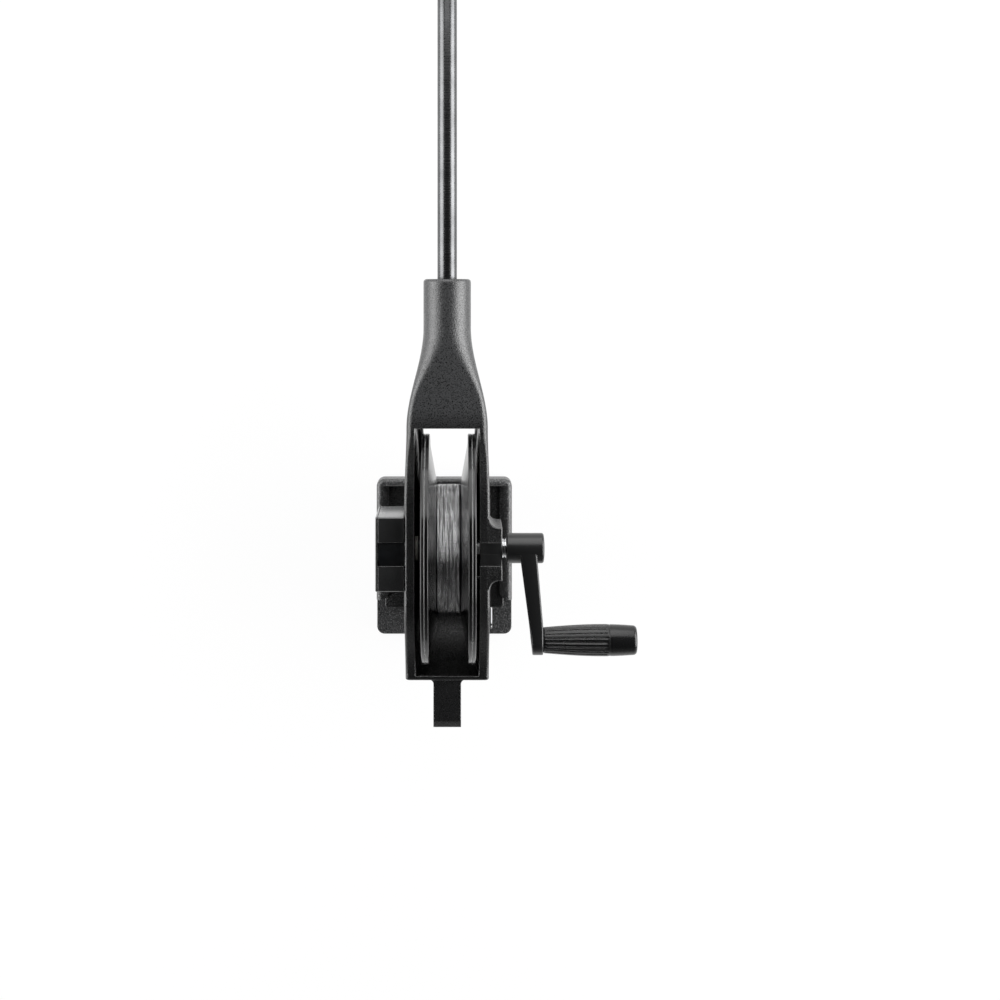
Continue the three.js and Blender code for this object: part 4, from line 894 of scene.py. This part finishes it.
def spool_drum():
    """One closed profile of hub, web, drum and two dished flanges, turned round the shaft."""
    back = WINDING_HALF + FLANGE_WALL
    inner = SPOOL_HALF - FLANGE_RIM
    rim = FLANGE_R - RIM_DEPTH
    bore = DRUM_R - DRUM_WALL
    half = [
        (back, bore, 1.5), (back, WINDING_R, 8), (inner + FLANGE_WALL, rim - 7.4, 6), (SPOOL_HALF, rim, 2),
        (SPOOL_HALF, FLANGE_R, 1.5), (SPOOL_HALF - 3.1, FLANGE_R, 0.2),
        (SPOOL_HALF - 3.5, FLANGE_R - 0.35, 0.2), (SPOOL_HALF - 3.9, FLANGE_R, 0.2),
        (inner, FLANGE_R, 0.9), (inner, rim, 3), (WINDING_HALF, WINDING_R, 8), (WINDING_HALF, DRUM_R, 0.5),
    ]
    profile = outline(
        5, (3, SHAFT_R + FIT, 0.3), (3, bore, 2), *half, *[(-x, r, corner) for x, r, corner in half[::-1]],
        (-3, bore, 2), (-3, HUB_R, 2), (-HUB_END, HUB_R, 0.8), (-HUB_END, SHAFT_R + FIT, 0.3),
    )
    made = turned("spool_drum_skin", profile + [SPOOL_SHIFT, 0], segments=180)
    put(made, "spool", "gloss_black", "spool_drum", sharp=40)


def wound_cable():
    """A helix of touching turns whose radius and place wander a little, as laid by hand."""
    t = np.linspace(0, CABLE_TURNS, CABLE_TURNS * 96 + 1)
    knots = np.random.default_rng(7).normal(0, 1, (CABLE_TURNS * 5 + 2, 2))
    wander = np.stack([np.interp(t * 5, np.arange(len(knots)), knots[:, k]) for k in (0, 1)], 1)
    span = 2 * WINDING_HALF - CABLE_D - 2 * FIT
    sway = 0.10 * wander[:, 0] * np.sin(math.pi * t / CABLE_TURNS)
    along = SPOOL_SHIFT - span / 2 + span * t / CABLE_TURNS + sway
    radius = WINDING_R - CABLE_D / 2 - 0.07 + 0.06 * np.clip(wander[:, 1], -1, 1)
    angle = 2 * math.pi * t
    path = np.stack([along, radius * np.cos(angle), radius * np.sin(angle)], 1)
    made = tube("wound_cable", path, CABLE_D / 2, 10)
    half, low, high = WINDING_HALF - FIT, DRUM_R + 0.4, WINDING_R - 1.5
    bed = rounded([(-half, low), (half, low), (half, high), (-half, high)], 0.3, 2) + [SPOOL_SHIFT, 0]
    put(turned("cable_bed", bed), "spool", "cable_steel", "cable_core", finish="cable_bed")
    put(made, "spool", "cable_steel", "cable_outer_layer", sharp=80)


# ---- Shaft line


def bearing_block():
    """The block in the boss's slot, with a shallow groove along its top."""
    half, top = SLOT_HALF - FIT, RING_TOP - 1.5
    side = outline(
        3, (half, top, 0.5), (0, top - 1.5, 0.2), (-half, top, 0.5), *arc((0, 0), half, 180, 360, 32)
    )
    body = slab("bearing_block_skin", side, BAY_HALF + FIT, BOSS_OUT - FIT, edge=0.5)
    cut(body, rod("sleeve hole", 8.3, BAY_HALF - OVER, BOSS_OUT + OVER, segments=64))
    put(body, "frame", "smooth_nylon", "bearing_block")


def shaft_parts():
    """Turned pieces on the spool's axis: bush, washer, shaft, thrust sleeve and its collar."""
    bore = SHAFT_HOLE
    bush = [(-40.8, bore), (-28.6, bore), (-28.6, 12), (-31.2, 12), (-31.2, 8.6), (-40.8, 8.6)]
    put(turned("shaft_bush_skin", rounded(bush, 0.4, 3)), "frame", "acetal", "shaft_bush")
    ring = rounded([(-28.3, bore), (-25.3, bore), (-25.3, 12), (-28.3, 12)], 0.5, 3)
    put(turned("thrust_washer_skin", ring), "frame", "bright_steel", "thrust_washer", finish="black_oxide")
    shaft = outline(
        3, (-47.2, 0), (86.8, 0), (86.8, SHAFT_R, 0.8), (-41.4, SHAFT_R, 0.5), (-41.4, 2.4, 0.2),
        (-47.2, 2.4, 0.4),
    )
    put(turned("spool_shaft_skin", shaft), "spool", "bright_steel", "spool_shaft")
    sleeve = outline(
        3, (18.5, bore, 0.2), (58.1, bore, 0.2), (58.1, 9.3, 0.6), (56.4, 9.3, 0.3), (56.0, 8.7, 0.2),
        (55.2, 8.7, 0.2), (54.8, 9.3, 0.3), (53.2, 9.3, 0.5), (53.2, 8), (18.5, 8, 0.4),
    )
    put(turned("thrust_sleeve_skin", sleeve), "crank", "bright_steel", "thrust_sleeve")


# ---- Crank and grip


def crank():
    """A domed hub and a flat arm whose inner and outer lines lean outwards, with a round end."""
    hub = outline(
        6, (CRANK_START, 0), (CRANK_END, 0), (CRANK_END - 0.2, 8, 6), (CRANK_END - 1.0, CRANK_HUB_R, 2.2),
        (CRANK_START, CRANK_HUB_R, 0.8),
    )
    body = turned("crank_arm_skin", hub, segments=128)
    tip = ARM_END_R * np.sin(np.linspace(0, math.pi / 2, 25)[1:])
    y = np.concatenate([np.linspace(0, -CRANK_THROW, 46), -CRANK_THROW - tip])
    inner = np.interp(-y, ARM_BENDS, ARM_INNER)
    outer = np.interp(-y, ARM_BENDS, ARM_OUTER)
    for line in (inner, outer):
        for _ in range(6):
            line[1:-1] = (line[:-2] + 2 * line[1:-1] + line[2:]) / 4
    past = np.clip(-y - CRANK_THROW, 0, ARM_END_R)
    end = np.sqrt(np.maximum(ARM_END_R**2 - past**2, 0.04))
    tall = np.where(past > 0, end, np.interp(-y, [0, CRANK_THROW], [CRANK_HUB_R - 0.5, ARM_END_R]))
    radius = np.minimum(1.8, tall * 0.9)
    rings = sections(np.column_stack([y, (outer - inner) / 2, -tall, tall, radius]), 5)
    rings[..., 0] += ((outer + inner) / 2)[:, None]
    join(body, skin("arm", rings))
    cut(body, rod("shaft hole", SHAFT_HOLE, CRANK_START - OVER, 87.1, segments=64))
    cut(body, rod("spindle hole", SPINDLE_R, 70, 120, -CRANK_THROW, 0))
    put(body, "crank", "smooth_nylon", "crank_arm")


def grip():
    """A swelling round body whose first two thirds carry shallow rounded flutes."""
    rim = GRIP_LENGTH - 3.2
    along = np.concatenate([
        np.linspace(0, 1.4, 5), np.linspace(2.2, FLUTE_END - 2.5, 46),
        np.linspace(FLUTE_END - 2, FLUTE_END + 4, 16), np.linspace(FLUTE_END + 6, GRIP_LENGTH - 3.4, 10),
        rim + 3.2 * np.sin(np.linspace(0, math.pi / 2, 8)),
    ])
    swell = np.where(
        along < GRIP_BELLY, 12.45 + 3.0 * np.sin(math.pi / 2 * along / GRIP_BELLY),
        15.45 - 1.5 * ((along - GRIP_BELLY) / (GRIP_LENGTH - GRIP_BELLY)) ** 2,
    )
    near = 0.9 * (1 - np.sqrt(np.clip(1 - (1 - along / 1.4) ** 2, 0, 1))) * (along < 1.4)
    far = np.clip((along - rim) / 3.2, 0, 1)
    edge = near + 2.6 * (1 - np.sqrt(1 - far**2 * 0.999))
    step = 0.30 * np.exp(-((along - FLUTE_END - 2.0) / 0.9) ** 2)
    depth = 0.85 * smooth((along - 0.8) / 2.5) * (1 - smooth((along - FLUTE_END + 2.5) / 3.5))
    t = np.arange(FLUTES * 14) * 2 * math.pi / (FLUTES * 14)
    radius = (swell - edge - step)[:, None] - depth[:, None] * np.clip(np.cos(FLUTES * t), 0, 1) ** 1.6
    x = GRIP_START + along[:, None] + 0 * t
    body = skin("crank_grip_skin", np.stack([x, radius * np.cos(t) - CRANK_THROW, radius * np.sin(t)], -1))
    end = GRIP_START + GRIP_LENGTH
    cut(body, rod("spindle bore", SPINDLE_R, GRIP_START - OVER, end + OVER, -CRANK_THROW, 0))
    cut(body, rod("cap seat", 10.3, CAP_SEAT, end + OVER, -CRANK_THROW, 0, segments=64))
    put(body, "grip", "grip_rubber", "crank_grip")
    cap = outline(
        4, (end - 2.4, 0), (end + 0.6, 0), (end + 0.1, 6, 4), (end - 0.3, 10, 0.8), (end - 2.4, 10, 0.3)
    )
    put(turned("grip_cap_skin", cap, -CRANK_THROW), "grip", "grip_rubber", "grip_cap")


# ---- Line counter


def line_counter():
    """A box of two mouldings with a crowned lens let into its top."""
    case = rectangle(COUNTER_HALF, RING_TOP, 2.5, 5)
    shell = slab("counter_shell", case, COUNTER_LID + FIT, COUNTER_IN, edge=0.3, top_edge=0.4)
    room = rectangle(COUNTER_HALF - COUNTER_WALL, RING_TOP - COUNTER_WALL, 1.2, 3)
    cut(shell, slab("hollow", room, COUNTER_LID - OVER, COUNTER_IN - COUNTER_WALL))
    half = LENS_HALF + FIT
    window = np.array([(half, LENS_SEAT), (half, 45), (-half, 45), (-half, LENS_SEAT)])
    cut(shell, slab("lens seat", window, -80, COUNTER_IN + OVER))
    put(shell, "frame", "smooth_nylon", "counter_housing", finish="satin_case")
    cover = slab("counter_cover_skin", case, COUNTER_OUT, COUNTER_LID, edge=1.1, top_edge=0.2, steps=4)
    low = COUNTER_OUT - OVER
    for y, z in COUNTER_SCREWS:
        cut(cover, rod("screw seat", 3.3, low, COUNTER_OUT + 1.4, y, z, segments=32))
        cut(cover, rod("screw hole", 1.7, low, COUNTER_LID + OVER, y, z, segments=24))
    put(cover, "frame", "smooth_nylon", "counter_cover", finish="satin_case")
    crown = np.concatenate([
        [(-LENS_HALF, 38.0), (LENS_HALF, 38.0), (LENS_HALF, 39.5)],
        bend((LENS_HALF, 39.5), (0, 42.5), (-LENS_HALF, 39.5), 20)[1:],
    ])
    lens = slab("counter_lens_skin", crown, COUNTER_LID + FIT, COUNTER_IN - FIT, edge=0.25)
    put(lens, "frame", "lens_smoke", "counter_lens")


def socket_screw(name, node, y, z):
    """A low round head with a hexagon socket."""
    start = COUNTER_OUT
    head = outline(
        3, (start, 0), (start + 12, 0), (start + 12, 1.4, 0.3), (start + 1.1, 1.4), (start + 1.1, 3, 0.1),
        (start, 3, 0.5),
    )
    body = turned(name, head, y, z, segments=40)
    cut(body, slab("socket", arc((y, z), 1.5, 0, 300, 5), start - OVER, start + 0.8))
    put(body, "frame", "bright_steel", node)


def digits(wheel):
    """The ten plain digits laid round a number wheel, each bent to its radius."""
    points, faces = [], []
    for number in range(10):
        words = bpy.data.curves.new("digit", "FONT")
        words.body = str(number)
        words.size = 5.4
        words.extrude = 0.05
        words.align_x = "CENTER"
        words.align_y = "CENTER"
        words.resolution_u = 3
        sign = linked("digit", words)
        bpy.context.view_layer.update()
        mesh = bpy.data.meshes.new_from_object(sign.evaluated_get(bpy.context.evaluated_depsgraph_get()))
        flat = np.zeros(len(mesh.vertices) * 3)
        mesh.vertices.foreach_get("co", flat)
        across, up, out = flat.reshape(-1, 3).T
        turn = math.pi / 2 - number * math.pi / 5 - up / WHEEL_R
        radius = WHEEL_R + 0.03 + out
        x = WHEEL_STARTS[wheel] + WHEEL_WIDTH / 2 + across
        faces += [[v + len(points) for v in face.vertices] for face in mesh.polygons]
        points += np.stack([x, radius * np.cos(turn), WHEEL_UP + radius * np.sin(turn)], 1).tolist()
        bpy.data.objects.remove(sign)
    made = solid(wheel + "_digits", np.array(points), faces)
    put(made, wheel.split("_")[0], "digit_black", finish="digits")


# ---- Boom and its head


def boom():
    """A plain tube: one ring of points turned round the boom's line."""
    bore = BOOM_R - BOOM_WALL
    profile = [(BOOM_START, bore), (BOOM_END, bore), (BOOM_END, BOOM_R), (BOOM_START, BOOM_R)]
    made = turned("boom_tube_skin", rounded(profile, 0.3, 2), 0, BOOM_RISE, "y", 128)
    put(made, "frame", "tube_steel", "boom_tube")


def boom_head():
    """A sleeve clamped on the tube, carrying two cheeks round the pulley."""
    front = BOOM_END + 11
    sleeve = outline(5, (HEAD_START, 0), (front, 0), (front, HEAD_R, 1.5), (HEAD_START, HEAD_R, 2))
    body = turned("boom_head_skin", sleeve, 0, BOOM_RISE, "y", 96)
    root, low, high = HEAD_START + 15, BOOM_RISE - HEAD_R, BOOM_RISE + HEAD_R
    side = outline(
        4, *arc((PULLEY_Y, PULLEY_Z), 15, -90, 90, 24), (BOOM_END, high, 4),
        (root, BOOM_RISE + HEAD_R / 2, 4), (root, BOOM_RISE - HEAD_R / 2, 4), (BOOM_END, low, 4),
    )
    join(body, slab("cheeks", side, -CHEEK_OUT, CHEEK_OUT, edge=1.0))
    near, far = PULLEY_Y - PULLEY_ROOM, PULLEY_Y + 45
    gap = np.array([(near, -40), (far, -40), (far, 70), (near, 70)])
    cut(body, slab("gap", gap, -CHEEK_IN, CHEEK_IN))
    low, high = HEAD_START - OVER, BOOM_END + FIT
    cut(body, rod("tube bore", BOOM_R + FIT, low, high, 0, BOOM_RISE, "y", segments=64))
    cut(body, rod("bolt hole", 3.3, -30, 30, PULLEY_Y, PULLEY_Z))
    cut(body, rod("screw hole", 2.3, BOOM_RISE + BOOM_R, 40, 0, HEAD_START + 19.05, "z", segments=24))
    put(body, "boom_head", "filled_nylon", "boom_head")


def pulley():
    """A grooved wheel with a hollowed web: one closed profile turned round its bolt."""
    half = PULLEY_HALF
    side = [
        (half, 11, 0.5), (half - 1.6, 13, 1), (half - 1.6, 17, 1), (half, 19, 0.5),
        (half, PULLEY_R, 0.5), (half - 1.2, PULLEY_R, 0.4), (1, PULLEY_R - 6, 0.8),
    ]
    profile = outline(
        4, (-half, 5.1, 0.3), (half, 5.1, 0.3), *side, *[(-x, r, corner) for x, r, corner in side[::-1]]
    )
    made = turned("pulley_skin", profile, PULLEY_Y, PULLEY_Z, segments=128)
    put(made, "pulley", "smooth_nylon", "pulley_wheel")


# ---- Everything the solids already shape well keeps its mesh and gets a real finish

DARKENED = {
    "pawl_pin", "pawl_spring", "housing_bolt_1", "housing_bolt_2", "ratchet_wheel", "pressure_plate"
}


def dress_solids():
    """Each CAD node still showing takes its slot's finish, and the small steel pieces a dark one."""
    slots = {row["node"]: row["material_slot"] for row in frame["record"]["subparts"]}
    for name, node in frame["nodes"].items():
        if not node.hide_render:
            node.data.materials.clear()
            node.data.materials.append(FINISH["black_oxide" if name in DARKENED else slots[name]])


# ---- Camera, floor and light

CAMERA_AT = (0.0112, 0.2869, 1.836)
CAMERA_LENS = 62.46
CAMERA_SHIFT = (0.045, -0.217)
FLOOR_HALF = 3.0
LIT_POINT = (0, 0.05, 0.1)


def camera():
    """Straight above, as the photograph was taken, shifted rather than turned."""
    data = bpy.data.cameras.new("camera")
    data.lens = CAMERA_LENS
    data.shift_x, data.shift_y = CAMERA_SHIFT
    data.clip_start, data.clip_end = 0.05, 20
    made = linked("camera", data)
    made.location = CAMERA_AT
    bpy.context.scene.camera = made


def white_floor():
    """A wide white sheet under the base. The camera, mirrors and glass see it as white.

    Near the base it keeps a little of its own shade, for the shadow, and far out it has none.
    """
    mesh = bpy.data.meshes.new("floor")
    corners = [(x * FLOOR_HALF, y * FLOOR_HALF, 0) for x, y in ((-1, -1), (1, -1), (1, 1), (-1, 1))]
    mesh.from_pydata(corners, [], [(0, 1, 2, 3)])
    made, tree, shader = surface("floor white", Base_Color=(0.9, 0.9, 0.9, 1), Roughness=0.9)
    rays = add(tree, "ShaderNodeLightPath").outputs
    seen = maths(tree, "MAXIMUM", rays["Is Glossy Ray"], rays["Is Transmission Ray"])
    seen = maths(tree, "MAXIMUM", rays["Is Camera Ray"], seen)
    reach = add(tree, "ShaderNodeVectorMath", operation="LENGTH")
    link(tree, object_place(tree), reach.inputs[0])
    glowing = spread(tree, reach.outputs["Value"], 0.9, 2.0, 0.93, 1.0)
    mix = add(tree, "ShaderNodeMixShader")
    link(tree, maths(tree, "MULTIPLY", seen, glowing), mix.inputs["Fac"])
    link(tree, shader.outputs["BSDF"], mix.inputs[1])
    link(tree, add(tree, "ShaderNodeEmission").outputs["Emission"], mix.inputs[2])
    link(tree, mix.outputs["Shader"], tree.nodes["Material Output"].inputs["Surface"])
    mesh.materials.append(made)
    linked("floor", mesh)


def studio_world():
    """White all round for the camera; on the object a pale room whose ceiling is dark."""
    world = bpy.data.worlds.new("studio")
    world.use_nodes = True
    bpy.context.scene.world = world
    tree = world.node_tree
    ground = tree.nodes["Background"]
    way = parts_of(tree, add(tree, "ShaderNodeTexCoord").outputs["Generated"])
    room = spread(tree, way["Z"], 0.1, 0.7, 0.8, 0.03)
    room = maths(tree, "MULTIPLY", room, spread(tree, way["Y"], -1.0, 1.0, 0.35, 1.0))
    strength = maths(tree, "MAXIMUM", room, add(tree, "ShaderNodeLightPath").outputs["Is Camera Ray"])
    ground.inputs["Color"].default_value = (1, 1, 1, 1)
    link(tree, strength, ground.inputs["Strength"])


def softbox(name, place, width, height, watts):
    """A rectangular lamp that looks at the lit point."""
    data = bpy.data.lights.new(name, "AREA")
    data.shape = "RECTANGLE"
    data.size, data.size_y = width, height
    data.energy = watts
    made = linked(name, data)
    made.location = place
    towards = np.array(LIT_POINT, float) - np.array(place, float)
    made.rotation_euler = Vector(towards).to_track_quat("-Z", "Y").to_euler()


yoke_frame()
mount_plate()
latch_lever()
spool_drum()
wound_cable()
bearing_block()
shaft_parts()
crank()
grip()
line_counter()
for number, (screw_y, screw_z) in enumerate(COUNTER_SCREWS, 1):
    socket_screw(f"counter_screw_{number}", f"cover_screw_{number}", screw_y, screw_z)
for wheel_name in WHEEL_STARTS:
    digits(wheel_name)
boom()
boom_head()
pulley()
dress_solids()
camera()
white_floor()
studio_world()
softbox("left softbox", (-1.3, 0.15, 0.62), 2.0, 1.1, 31)
softbox("right softbox", (1.3, 0.15, 0.62), 2.0, 1.1, 42)
softbox("front softbox", (0.0, 1.5, 0.85), 1.4, 1.6, 15)
bpy.context.scene.view_settings.view_transform = "Standard"
